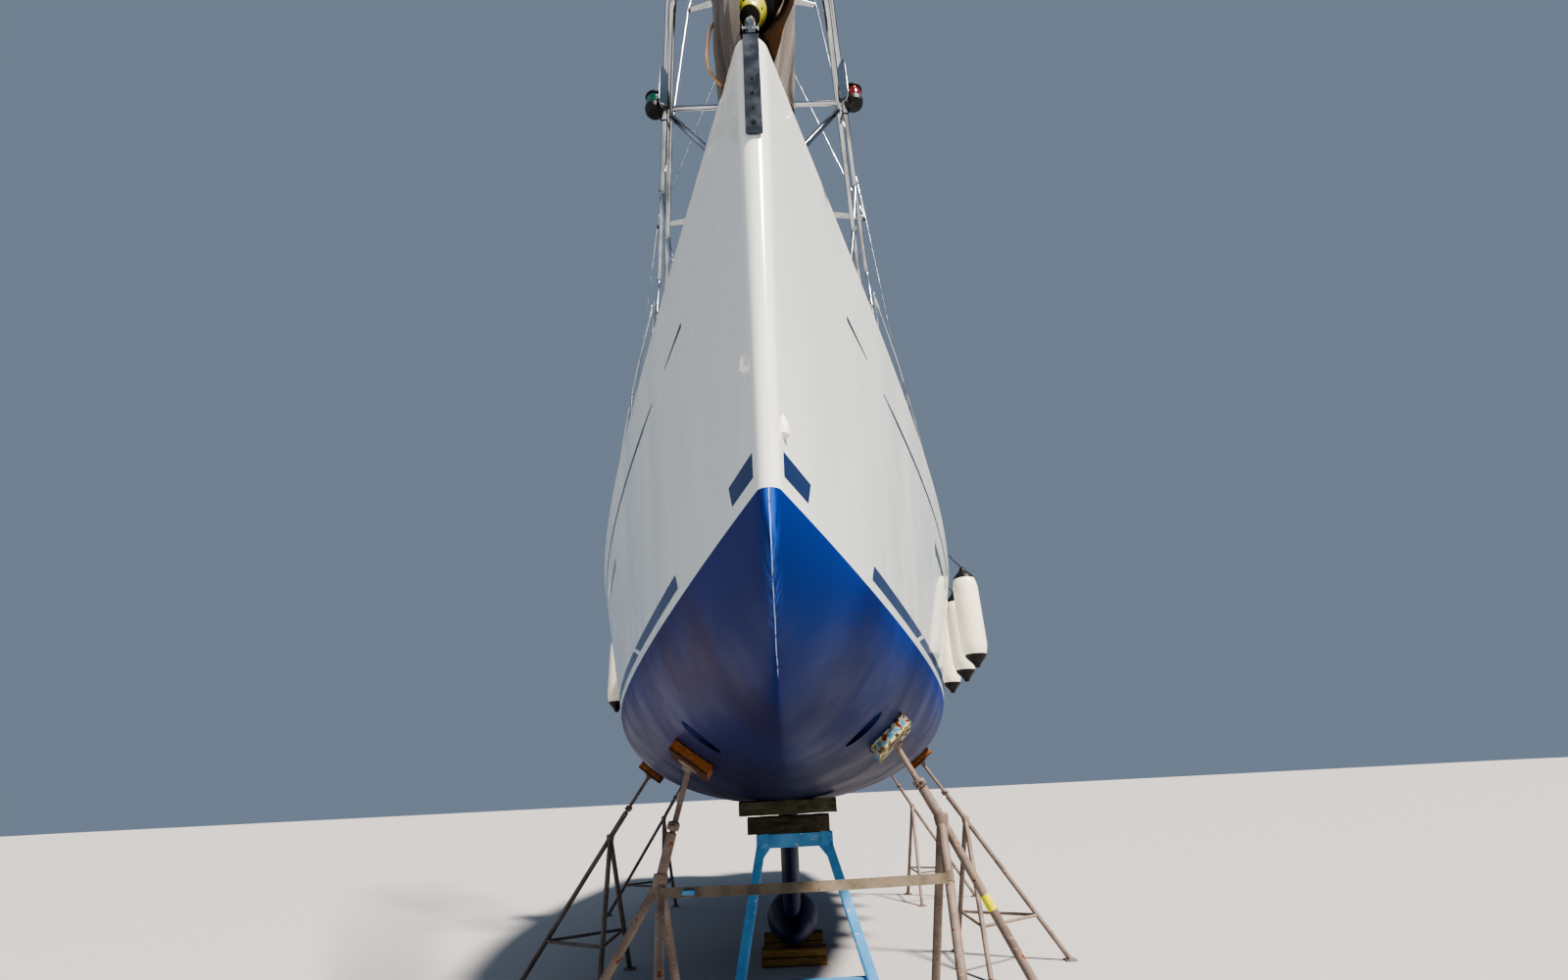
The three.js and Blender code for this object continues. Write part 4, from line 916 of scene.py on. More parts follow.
def make_cockpit_teak():
    """Slatted seats and soles in the cockpit."""
    width, gap, thick = 0.048, 0.004, 0.008
    slats = []
    for x0, x1, s0, s1, z in ((0.46, 1.12, 9.42, 11.66, 3.38), (-1.12, -0.46, 9.42, 11.66, 3.38),
                              (-0.36, 0.36, 9.42, 11.66, 2.95), (-0.4, 0.4, 13.46, 13.8, 2.62)):
        for k in range(int((x1 - x0 + gap) / (width + gap))):
            x = x0 + k * (width + gap)
            slats.append(block(x, x + width, s0, s1, z, z + thick))
    piece("cockpit_teak", slats, TEAK)


# Stripes and small fittings on the hull

BOOT = {"low": 2.335, "high": 2.405}
# Fore and aft end of each dash at its low edge and at its high edge
BOOT_DASHES = ((0.045, 0.23, 0.045, 0.26), (1.02, 2.2, 1.07, 2.46), (2.3, 13.7, 2.55, 13.7))
# Each run: where it starts and ends, its width at the start and after the taper
COVE_RUNS = ((0.86, 1.2, 0.024, 0.006), (1.54, 13.35, 0.008, 0.026))
COVE_TAPER = 0.34


def cove_z(s):
    return 3.40 + 0.12 * exp(-((s - 3) / 2.6) ** 2)


def make_stripes():
    boots, coves = [], []
    for side in (1, -1):
        for a0, a1, b0, b1 in BOOT_DASHES:
            boots.append(hull_plate(side, lambda t: (a0 + (a1 - a0) * t, BOOT["low"]),
                                    lambda t: (b0 + (b1 - b0) * t, BOOT["high"]), 12 if a1 < 1 else 60, 5))
        for s0, s1, first, then in COVE_RUNS:
            def edge(t, up):
                s = s0 + (s1 - s0) * t
                width = first + (then - first) * min(1, (s - s0) / COVE_TAPER)
                return s, cove_z(s) + up * width / 2

            coves.append(hull_plate(side, lambda t: edge(t, -1), lambda t: edge(t, 1), 90, 1))
    piece("boot_stripe", boots, STRIPE)
    piece("cove_line", coves, COVE)


def make_vents():
    """Two clamshell vents at the stem."""
    for name, side, s, z in (("vent_starboard", -1, 0.07, 2.715), ("vent_port", 1, 0.054, 2.491)):
        centre = hull_point(side, s, z)
        out = (hull_point(side, s, z, 0.01) - centre).normalized()
        across = out.cross(-UP).normalized()
        rings = []
        for share in spaced(0, 1, 8):
            half = 0.018 * sin(pi * min(0.12 + 0.5 * share, 0.5)) + 0.001
            rise = 0.015 * sin(pi / 2 * min(1, share * 1.4)) + 0.001
            middle = centre - UP * (0.064 * share - 0.032) - out * 0.004
            rings.append([middle + across * half * cos(a) + out * (0.004 + rise) * max(sin(a), -0.2)
                          for a in around(16)])
        screw = turned([(0.0035, 0), (0.0035, 0.004), (0.002, 0.005)], centre + out * 0.006, out, 10)
        piece(name, [loft(rings), (screw, STEEL)], VENT_WHITE)


def make_stem_fitting():
    """Strap with bolts, plate on deck, tang and toggle of the forestay."""
    top = deck_top(0.06) + 0.0003
    half, front, foot, soft = 0.0278, -0.011, 3.532, 0.008
    corners = [*reversed(arc((half - soft, foot), soft, -90, 0)),
               *reversed(arc((soft - half, foot), soft, 180, 270))]
    strap = slab("y", [(half, 3.9), *corners, (-half, 3.9), (-half, top + 0.008), (half, top + 0.008)], front,
                 -0.0035)
    plate = slab("z", [(-half, front), (half, front), (half, 0.3), *arc((0, 0.3), half, 0, 180, 8),
                       (-half, 0.3)],
                 top + 0.0005, top + 0.0085)
    tang = slab("x", [(0.006, top + 0.004), (0.1, top + 0.004), *arc((0.032, 4.118), 0.026, 0, 180, 8)],
                -0.008, 0.008)
    # The strap takes the darkened stainless: painted shade.
    forms = [(strap, STRAP_STEEL_SHADED), (plate, STEEL_DULL), tang]
    for z, r in ((3.57, 0.0105), (3.64, 0.007), (3.711, 0.007), (3.783, 0.007)):
        profile = [(r, -0.002), (r, 0.0006), (0.75 * r, 0.001), (0.7 * r, 0.0004), (0.0, 0.0006)]
        forms.append((turned(profile, at(0, front, z), -AFT, 18), SCREW_STEEL))
    for s in (0.14, 0.2, 0.26):
        forms.append(turned([(0.0075, -0.001), (0.0075, 0.003), (0, 0.004)], at(0, s, top + 0.008), UP, 12))
    forms.append(turned([(0.0, -0.03), (0.011, -0.03), (0.011, -0.026), (0.0065, -0.026), (0.0065, 0.026),
                         (0.011, 0.026), (0.011, 0.031), (0, 0.031)], at(0, 0.032, 4.118), PORT, 16))
    for x in (-0.0135, 0.0135):
        forms.append(ribbon([stay_point(d) + PORT * x for d in (-0.012, 0.085)], AFT, 0.03, 0.0055))
    forms.append(turned([(0, 0.068), (0.02, 0.07), (0.02, 0.092), (0.012, 0.1), (0.012, 0.165), (0, 0.165)],
                        STAY_FOOT, STAY_AXIS, 18))
    piece("stem_strap", forms, STEEL, stands_for=["stem_fitting"], bevel=0.0015)


# Pulpit, lights and lifelines

RAIL = {"r": 0.0130, "top": 4.62, "middle": 4.3}


def rail_x(s):
    return 0.293 + 0.196 * s


def middle_x(s):
    return 0.278 + 0.178 * s


def foot_z(s):
    return sheer(s) + DECK_EDGE - 0.006


def base_plate(place):
    return turned([(0.034, 0), (0.034, 0.006), (0.02, 0.009), (0.0165, 0.026), (0.0135, 0.027)], place, UP,
                  20)


def make_pulpit():
    r, top, middle = RAIL["r"], RAIL["top"], RAIL["middle"]
    aft = deck_half(1.85)
    feet = ((aft - 0.065, 1.85), (0.168, 0.45), (deck_half(1.2) - 0.07, 1.2))
    loop = [(middle_x(s), s, middle) for s in (1.7, 0.9, 0.15)]
    loop += [(middle_x(0.04), 0.05, 4.36), (rail_x(0.06) + 0.004, 0.06, 4.55)]
    loop += [(rail_x(s), s, top) for s in (0.16, 0.9, 1.76)]
    loop += [(rail_x(1.85) + 0.004, 1.85, 4.55), (aft - 0.08, 1.85, middle)]
    legs = (((aft - 0.08, 1.85, 4.301), (*feet[0], foot_z(1.85) + 0.004)),
            ((middle_x(1.7), 1.699, middle), (aft - 0.078, 1.85, middle)),
            ((middle_x(0.5), 0.5, middle), (*feet[1], foot_z(0.45) + 0.004)),
            ((rail_x(1.2), 1.2, top), (middle_x(1.2), 1.2, middle)),
            ((middle_x(1.2), 1.2, middle), (*feet[2], foot_z(1.2) + 0.004)))
    half = [tube(smooth([at(*point) for point in loop], 10), r, 16)]
    half += [tube([at(*start), at(*end)], r, 16) for start, end in legs]
    half += [base_plate(at(x, s, foot_z(s))) for x, s in feet]
    for x, s, z in ((middle_x(0.5), 0.5, middle), (middle_x(1.2), 1.2, middle), (rail_x(1.2), 1.2, top)):
        half.append(tube([at(x, s - 0.017, z), at(x, s + 0.017, z)], r + 0.0025, 16))
    cross = tube([at(-middle_x(0.45), 0.47, middle), at(middle_x(0.45), 0.47, middle)], r - 0.001, 16)
    forms = [cross, *half, *(mirrored(form) for form in half)]
    piece("pulpit_rails", forms, STEEL, stands_for=["pulpit"])


def make_bow_lights():
    body = [(0, 0), (0.026, 0.002), (0.037, 0.012), (0.04, 0.03), (0.038, 0.037), (0, 0.037)]
    glass = [(0, 0.0372), (0.035, 0.0372), (0.0375, 0.062), (0.035, 0.0898), (0, 0.0898)]
    cap = [(0, 0.09), (0.039, 0.09), (0.041, 0.096), (0.035, 0.107), (0.018, 0.112), (0, 0.112)]
    lead = ((0.02, 0.01, 0.004), (0.028, 0.02, -0.014), (0.046, 0.03, 0.0), (0.05, 0.1, 0.03))
    for name, side in SIDES:
        low = at(side * (middle_x(0.45) + 0.066), 0.45, RAIL["middle"] - 0.056)
        across, outward = off(-side * 0.42, 0.9075, 0), off(side * 0.9075, 0.42, 0)
        centre = low - outward * 0.046
        outline = rounded(-0.034, 0.034, 0.004, 0.26, 0.033, 8)
        plate = loft([[centre + across * u + outward * depth + UP * z for u, z in outline]
                      for depth in (0, 0.0035)])
        arms = [ribbon([centre + UP * z, low + UP * z], AFT, 0.02, 0.004) for z in (0.006, 0.1)]
        cable = smooth([low + off(-side * x, y, z) for x, y, z in lead], 6)
        piece("bow_lamp_" + name,
              [turned(body, low, UP, 28), turned(cap, low, UP, 28),
               (turned(glass, low, UP, 28), RED if side > 0 else GREEN), (plate, STEEL), *arms,
               tube(cable, 0.003, 8)], BLACK,
              stands_for=["bow_light_" + name], bevel=0.001)


def rail_foot(s, rise=0.0):
    x = deck_half(s) - 0.07
    return at(x, s, deck_z(x, s) - 0.01 + rise)


def make_lifelines(name, side):
    r, high = RAIL["r"], 0.61
    stanchions = (2.9, 4.6, 6.4, 8.2, 10.0, 11.8)
    forms = []
    for rise in (0.32, high):
        forms.append(tube(smooth([rail_foot(s, rise) for s in (1.92, *stanchions, 12.6)], 6), 0.004, 8))
        forms += [tube([rail_foot(s, rise), rail_foot(s + 0.09, rise)], 0.0075, 10) for s in (1.96, 12.5)]
    for s in stanchions:
        top = rail_foot(s, high)
        forms.append(tube([rail_foot(s), top], [r, r * 0.92], 16))
        forms.append(turned([(r * 0.92, -0.002), (r, 0.002), (0.008, 0.01), (0, 0.011)], top, UP, 14))
        forms.append(base_plate(rail_foot(s)))
    forms.append(tube([rail_foot(1.925, 0.315), rail_foot(1.925, 0.615)], 0.006, 10))
    last = rail_foot(13.4)
    for rise in (0.32, 0.62):
        corner = [rail_foot(12.56, rise), rail_foot(13.15, rise), last + off(-0.06, 0, rise),
                  last + off(-0.25, 0.04, rise), at(0.56, 13.44, last.z + rise)]
        forms.append(tube(smooth(corner), r, 16))
    forms.append(tube([rail_foot(12.6), rail_foot(12.6, 0.62)], r, 16))
    forms.append(base_plate(rail_foot(12.6)))
    for x in (0.58, 1.3):
        foot = at(x, 13.37, deck_z(x, 13.37) - 0.01)
        forms.append(tube([foot, at(x, 13.44, last.z + 0.33)], r, 16))
        forms.append(tube([at(x, 13.44, last.z + 0.32), at(x, 13.44, last.z + 0.62)], r, 16))
        forms.append(base_plate(foot))
    if side < 0:
        forms = [mirrored(form) for form in forms]
    piece("guard_rails_" + name, forms, STEEL, stands_for=["lifelines_" + name])


# Furler drum and the furled headsail with its skirt

def make_drum():
    bowl = ((0, 0.16), (0.03, 0.16), (0.044, 0.172), (0.05, 0.2), (0.064, 0.24), (0.096, 0.268),
            (0.096, 0.284), (0.07, 0.298), (0, 0.298))
    rope = ((0, 0.2985), (0.07, 0.2985), (0.068, 0.32), (0.07, 0.3495), (0, 0.3495))
    upper = ((0, 0.35), (0.07, 0.35), (0.096, 0.364), (0.096, 0.38), (0.052, 0.396), (0.03, 0.425),
             (0, 0.425))
    ring = ((0, 0.1585), (0.042, 0.1585), (0.0475, 0.172), (0.0525, 0.2), (0.0665, 0.24), (0.06, 0.242),
            (0, 0.242))
    mouth = ((0, 0.1575), (0.0385, 0.1575), (0.0385, 0.1595), (0, 0.1595))
    forms = [(turned(profile, STAY_FOOT, STAY_AXIS, 40), look) for profile, look in (
        (bowl, BLACK), (rope, ROPE_WHITE), (upper, BLACK), (ring, LIME), (mouth, BLACK))]
    side, up = axes_along(STAY_AXIS)
    for angle in around(8, 0.5):
        out = side * cos(angle) + up * sin(angle)
        forms.append(turned([(0.005, -0.002), (0.005, 0.003), (0, 0.0032)], stay_point(0.187) + out * 0.0494,
                            out, 10))
    piece("furling_drum", forms, BLACK, body="furler_body", stands_for=["furler_drum"])


def read_line(table, value):
    """The numbers of a table at a value of its first column, on straight lines between its rows."""
    for (low, *first), (high, *then) in zip(table, table[1:]):
        if value <= high:
            return [a + (b - a) * (value - low) / (high - low) for a, b in zip(first, then)]
    return table[-1][1:]


def read_curve(table, value):
    """The numbers of a table at a value of its first column, on smooth curves through its rows."""
    k = 1
    while k < len(table) - 1 and value > table[k][0]:
        k += 1
    before, low, high, after = table[max(k - 2, 0)], table[k - 1], table[k], table[min(k + 1, len(table) - 1)]
    span = high[0] - low[0]
    t = clamp((value - low[0]) / span)
    numbers = []
    for b, l, h, a in zip(before[1:], low[1:], high[1:], after[1:]):
        leave = (h - b) * span / (high[0] - before[0])
        arrive = (a - l) * span / (after[0] - low[0])
        rise = h - l
        bend = 3 * rise - 2 * leave - arrive
        numbers.append(l + t * (leave + t * (bend + t * (leave + arrive - 2 * rise))))
    return numbers


# Distance up the stay and radius of the rolled sail
HEADSAIL = ((-0.02, 0.180), (0.3, 0.187), (0.62, 0.185), (0.9, 0.184), (1.5, 0.177), (4.0, 0.159),
            (8.0, 0.129), (12.0, 0.095), (14.6, 0.061), (15.0, 0.03))


def cloth_ripple(angle, distance):
    """Wrinkles of the rolled cloth: spiral folds that open out towards the foot."""
    spiral = 0.5 + 0.5 * sin(angle + distance * 1.9)
    fine = sin(5 * angle - 6.0 * distance) + 0.6 * sin(9 * angle + 11.0 * distance + 1.3)
    return -0.012 * spiral ** 6 + 0.0022 * fine


def make_headsail():
    ahead = (STAY_AXIS * STAY_AXIS.y - AFT).normalized()
    rings = []
    for distance in [0.43, 0.445, 0.47, *spaced(0.5, 15.0, 156)]:
        foot = 0.16 + 0.84 * sin(pi / 2 * clamp((distance - 0.43) / 0.42)) ** 1.2
        radius, = read_line(HEADSAIL, distance)
        rings.append([
            stay_point(distance) + (ahead * cos(a) + PORT * sin(a)) * foot
            * (radius * 0.97 + cloth_ripple(a, distance) * min(1, radius / 0.12)) for a in around(64)])
    head = turned([(0.03, 14.98), (0.03, 15.05), (0.024, 15.06), (0.024, 15.56), (0, 15.56)], STAY_FOOT,
                  STAY_AXIS, 20)
    cover = piece("headsail_cover", [loft(rings), (head, ALLOY)], CANVAS, body="furler_body",
                  stands_for=["furled_headsail"], crease=60)


# The skirt hangs from its collar on the roll, round the drum and down to the deck, open at the front.
# Each ring: share of the way down, centre (x, s, z), tilt with the stay, then the radius at each angle
SKIRT_ANGLES = (0, 41, 60, 80, 96, 112, 127, 151, 180, 230, 265, 312, 345)
SKIRT_RINGS = (
    (0.0, 0.0, 0.2995, 4.9267, 1.0) + (0.1875,) * 13,
    (0.12, 0.003, 0.262, 4.8, 0.8) + (0.1835,) * 13,
    (0.3, 0.012, 0.207, 4.62, 0.3, .171, .169, .169, .169, .169, .167, .163, .162, .163, .166, .169, .166,
     .169),
    (0.5, 0.0165, 0.181, 4.43, 0.0, .166, .156, .155, .157, .163, .168, .168, .165, .163, .165, .163, .157,
     .166),
    (0.75, 0.009, 0.178, 4.22, 0.0, .165, .128, .126, .133, .154, .171, .178, .172, .165, .168, .155, .146,
     .165),
    (1.0, 0.011, 0.188, 4.01, 0.0, .150, .100, .096, .095, .105, .134, .180, .183, .172, .170, .135, .118,
     .160))
# How much higher or lower the hem is than the last ring, at the same angles
SKIRT_HEM = (.03, .005, .005, .0, .0, -.005, -.01, .01, .01, .01, -.02, .0, .04)
# Where the port edge hangs: share of the way down, angle from straight ahead
SKIRT_EDGE = ((0.0, -10), (0.06, -4), (0.12, 8), (0.22, 34), (0.32, 66), (0.43, 82), (0.53, 76), (0.65, 69),
              (0.77, 65), (0.88, 54), (1.0, 41))


def all_round(numbers):
    """Numbers at the skirt's angles as a table that closes on itself."""
    rows = list(zip(SKIRT_ANGLES, numbers))
    return [(rows[-1][0] - 360, rows[-1][1]), *rows, (360, rows[0][1]), (360 + rows[1][0], rows[1][1])]


def skirt_ring(share, angles, depth=0.0):
    """Points on the skirt's outer face, or under it by a depth; the angles run from ahead to port."""
    x, s, z, tilt, *radii = read_curve(SKIRT_RINGS, share)
    radii, hem = all_round(radii), all_round(SKIRT_HEM)
    axis = off(0, STAY_AXIS.y * max(0, tilt), 1).normalized()
    ahead = off(0, -axis.z, axis.y)
    points = []
    for angle in angles:
        turn = degrees(angle) % 360
        folds = 0.003 * sin(9 * angle + 1.1) + 0.002 * sin(17 * angle + 5 * share) + 0.001 * sin(31 * angle)
        radius = read_curve(radii, turn)[0] + folds * min(1, 3 * share) - depth
        lift = read_curve(hem, turn)[0] * share ** 4
        points.append(at(x, s, z + lift) + (PORT * sin(angle) + ahead * cos(angle)) * radius)
    return points


def make_skirt():
    rings = []
    for share in spaced(0, 1, 46):
        edge = radians(read_curve(SKIRT_EDGE, share)[0])
        angles = spaced(edge, 2 * pi - radians(13 + 5 * share), 110)
        rings.append(skirt_ring(share, angles) + skirt_ring(share, angles[::-1], 0.0022))
    collar = [[point + STAY_AXIS * rise for point in skirt_ring(0, around(72), depth)]
              for depth, rise in ((0.001, -0.028), (-0.0035, -0.026), (-0.0035, 0.014), (0.001, 0.016))]
    apron = piece("headsail_skirt", [loft(rings), loft(collar, True)], CANVAS, crease=60)
    apron.data.materials.append(CANVAS_LIT_THROUGH)
    # Inner faces to port take the light tan canvas: painted light shining through the cloth.
    heights = [(-ring[3], ring[1], ring[2]) for ring in SKIRT_RINGS]
    for face in apron.data.polygons:
        centre = at(*read_curve(heights, -face.center.z), face.center.z)
        to_port = face.center.x > 0.026 + (4.8 - face.center.z) * 0.158
        if face.normal.dot(face.center - centre) < 0 and to_port:
            face.material_index = len(apron.data.materials) - 1


# Across, aft and height of the points that the skirt's lashing goes through, from its eyelet to the hem
LASHING = ((-0.134, 0.176, 4.4), (-0.148, 0.164, 4.36), (-0.16, 0.16, 4.31), (-0.167, 0.16, 4.237),
           (-0.171, 0.16, 4.165), (-0.166, 0.16, 4.105), (-0.152, 0.16, 4.06), (-0.134, 0.163, 4.026),
           (-0.108, 0.172, 4.004))
LASHING_R = 0.006


def make_lashing():
    """The tan line that stands out from the skirt's starboard side."""
    path = smooth([at(*point) for point in LASHING], 4)
    line = piece("skirt_lashing", [tube(path, LASHING_R)], ROPE_TAN)


# Keel and rudder

def foil_ring(s, z, chord, thick):
    """A foil section at one height, its leading edge at s."""
    ring = []
    for angle in around(36, 0.5):
        share = 0.5 - 0.5 * cos(angle)
        half = thick / 2 * sin(pi * share ** 0.62) ** 0.8
        ring.append(at(copysign(half, sin(angle)), s + chord * share, z))
    return ring


def make_keel():
    fin = loft([foil_ring(5.9 + 0.3 * t, 1.65 - 1.27 * t, 1.9 - 0.45 * t, 0.2 - 0.02 * t)
                for t in spaced(0, 1, 8)])
    rings = []
    widest = 0.42
    for k in range(33):
        share = 0.5 - 0.5 * cos(pi * k / 32)
        size = (share / widest) ** 0.48 if share < widest else cos(pi / 2 * (share - widest) / 0.6) ** 0.8
        size = clamp(size, 0.02, 1)
        rings.append([at(0.27 * size * cos(a), 5.95 + 2.4 * share, 0.38 + 0.23 * size * sin(a))
                      for a in around(40)])
    bulb = carved(loft(rings), [block(-0.5, 0.5, 5, 9, 0, 0.1503)])
    whole = carved(joined([fin, bulb]), [near_hull(4.5, 9.5, 40)])
    piece("keel_fin", [largest(whole)], ANTIFOULING, stands_for=["keel"], crease=40)


def make_rudder():
    rows = ((12.56, 2.062, 0.78, 0.13), (12.57, 1.9, 0.76, 0.128), (12.61, 1.3, 0.64, 0.11),
            (12.625, 1.0, 0.56, 0.096), (12.64, 0.73, 0.49, 0.082), (12.66, 0.72, 0.45, 0.07))
    blade = loft([foil_ring(*row) for row in rows])
    gap = 0.034
    under = [(s, keel_z(s) - gap) for s in (12.3, RUDDER_S, 13.2, 13.6)]
    over = slab("x", [*under, (13.6, 3), (12.3, 3)], -0.3, 0.3)
    stock = round_bar(at(0, RUDDER_S, 1.0), at(0, RUDDER_S, 2.75), 0.04)
    piece("rudder_blade", [carved(blade, [over]), (stock, STEEL_DULL)], ANTIFOULING, body="rudder_body",
          stands_for=["rudder"], crease=40)


# Fenders on their lanyards

FENDERS = (*((f"fender_port_{k}", 1, 5.1 + 1.1 * k) for k in range(1, 6)), ("fender_starboard", -1, 8.7))
FENDER = {"out": 0.215, "low": 2.77, "length": 1.16, "r": 0.142}


def make_fender(name, side, s):
    length = FENDER["length"]
    foot = at(side * (deck_half(s) + FENDER["out"]), s, FENDER["low"])
    head = foot + UP * length
    half = smooth([off(*p, 0) for p in ((0.108, 0.118), (0.118, 0.142), (0.134, 0.2), (FENDER["r"], 0.26))],
                  4)
    profile = [(0, 0.118), *((p.x, p.y) for p in half)]
    body = turned([*profile, *((r, length - rise) for r, rise in reversed(profile))], foot, UP, 40)
    cap = [(0.0, 0.0), (0.02, 0.0), (0.029, 0.005), (0.034, 0.024), (0.05, 0.048), (0.084, 0.083),
           (0.108, 0.112), (0.1195, 0.136), (0.1175, 0.144), (0, 0.144)]
    eye = tube(oval(head - UP * 0.004, PORT * 0.012, UP * 0.013, 16), 0.005, 8, True)
    rail = rail_foot(s, 0.61)
    rail.x *= side
    wrap = 0.0105
    hang = [head - UP * 0.006, head.lerp(rail, 0.5) + AFT * 0.01, rail + PORT * side * wrap]
    hitch = [rail + off(wrap * cos(pi * k / 10), 0.007 * (k / 10 - 3), wrap * sin(pi * k / 10))
             for k in range(61)]
    forms = [body, (turned(cap, foot, UP, 28), BLACK), (turned(cap, head, -UP, 28), BLACK), (eye, BLACK),
             (tube(smooth(hang, 10), 0.006, 10), ROPE_NAVY), (tube(hitch, 0.0058, 8), ROPE_NAVY)]
    piece(name + "_body", forms, VINYL, stands_for=[name], crease=50)


# Bow trestle, timbers, keel blocks

TRESTLE_S = 4.0
TRESTLE_TOP = 1.33


def foot_plate(x, s, half, soft):
    return slab("z", rounded(x - half, x + half, s - half, s + half, soft, 3), 0, 0.01)


def rough_beam(x0, x1, s0, s1, z0, z1, wear, seed):
    """A sawn timber along X with knocked corners and an uneven skin."""
    dice = random.Random(seed)
    steps = 44
    outline = rounded(s0 + wear, s1 - wear, z0 + wear, z1 - wear, 0.008, 2)
    rings = []
    drift = [dice.uniform(-1, 1) for _ in outline]
    for i in range(steps + 1):
        x = x0 + (x1 - x0) * i / steps
        ring = []
        for k, (s, z) in enumerate(outline):
            drift[k] = clamp(drift[k] + dice.uniform(-0.5, 0.5), -1, 1)
            out = off(0, s - (s0 + s1) / 2, z - (z0 + z1) / 2).normalized()
            ragged = x + dice.uniform(-0.3, 0.3) * wear * (i in (0, steps))
            ring.append(at(ragged, s, z) + out * wear * 0.8 * drift[k])
        rings.append(ring)
    return loft(rings)


def make_trestle():
    s, wide, half = TRESTLE_S, 0.062, 0.06
    forms = [block(-0.23, 0.32, s - half, s + half, 1.24, TRESTLE_TOP)]
    for lean in (-1, 1):
        for top_x, foot_x in ((-0.2, -0.455), (0.285, 0.645)):
            foot_s, plate_s, gusset = s + lean * 0.42, s + lean * 0.045, copysign(0.13, foot_x)
            top, foot = at(top_x, s + lean * 0.03, 1.25), at(foot_x, foot_s, 0.008)
            forms.append(ribbon([top, foot + (top - foot).normalized() * 0.012], AFT, wide, wide))
            forms.append(foot_plate(foot_x, foot_s, half, 0.008))
            forms.append(slab("y", [(top_x + gusset * 0.2, 1.235), (top_x - gusset * 0.55, 1.242),
                                    (top_x + gusset * 0.24, 1.12)], plate_s - 0.004, plate_s + 0.004))
        rail_s = s + lean * 0.3
        forms.append(block(-0.4, 0.56, rail_s - 0.02, rail_s + 0.02, 0.33, 0.38))
    for x in (-0.382, 0.534):
        forms.append(block(x - 0.02, x + 0.02, s - 0.31, s + 0.31, 0.335, 0.375))
    for x in (-0.17, 0.26):
        for edge in (-1, 1):
            near, far = s + edge * 0.0602, s + edge * 0.066
            forms.append(slab("x", [(far, 1.242), (far, 1.4), (near, 1.4), (near, 1.242)], x - 0.03,
                              x + 0.03))
    piece("trestle_frame", forms, TRESTLE, stands_for=["trestle"], bevel=0.004)
    hull = [near_hull(3.0, 5.0, 20)]
    lower = carved(rough_beam(-0.29, 0.3, s - 0.11, s + 0.11, TRESTLE_TOP + 0.0005, 1.4495, 0.004, 3), hull)
    upper = carved(rough_beam(-0.35, 0.36, s - 0.1, s + 0.1, 1.4497, 1.556, 0.005, 5), hull)
    piece("trestle_planks", [lower, (upper, TIMBER_OLIVE)], TIMBER, stands_for=["trestle_timbers"],
          crease=30)


def make_keel_blocks():
    for name, s, seed in (("keel_block_fore", 6.75, 11), ("keel_block_aft", 7.55, 12)):
        beams = [rough_beam(-0.33, 0.33, s - 0.11, s + 0.11, low, high, 0.003, own_seed)
                 for low, high, own_seed in ((0.0002, 0.0745, seed), (0.0755, 0.1499, seed + 5))]
        piece(name + "_timber", beams, YELLOW, stands_for=[name], crease=30)


# Tripod props with their boards against the hull

# Each: place and side, distance aft, height of the pad, reach and drop to the legs' meeting, outer foot
TRIPODS = (("fore", 1, 2.58, 1.875, 0.245, 0.445, 0.68), ("fore", -1, 2.57, 1.81, 0.175, 0.6, 0.76),
           *(("middle", side, 6.3, 1.88, 0.42, 0.62, 0.82) for side in (1, -1)),
           *(("aft", side, 10.6, 2.01, 0.42, 0.7, 0.82) for side in (1, -1)))
BOARD = {"size": 0.25, "thick": 0.07, "out": 0.028, "plies": 5}
INNER_FOOT = (-0.12, 0.64)


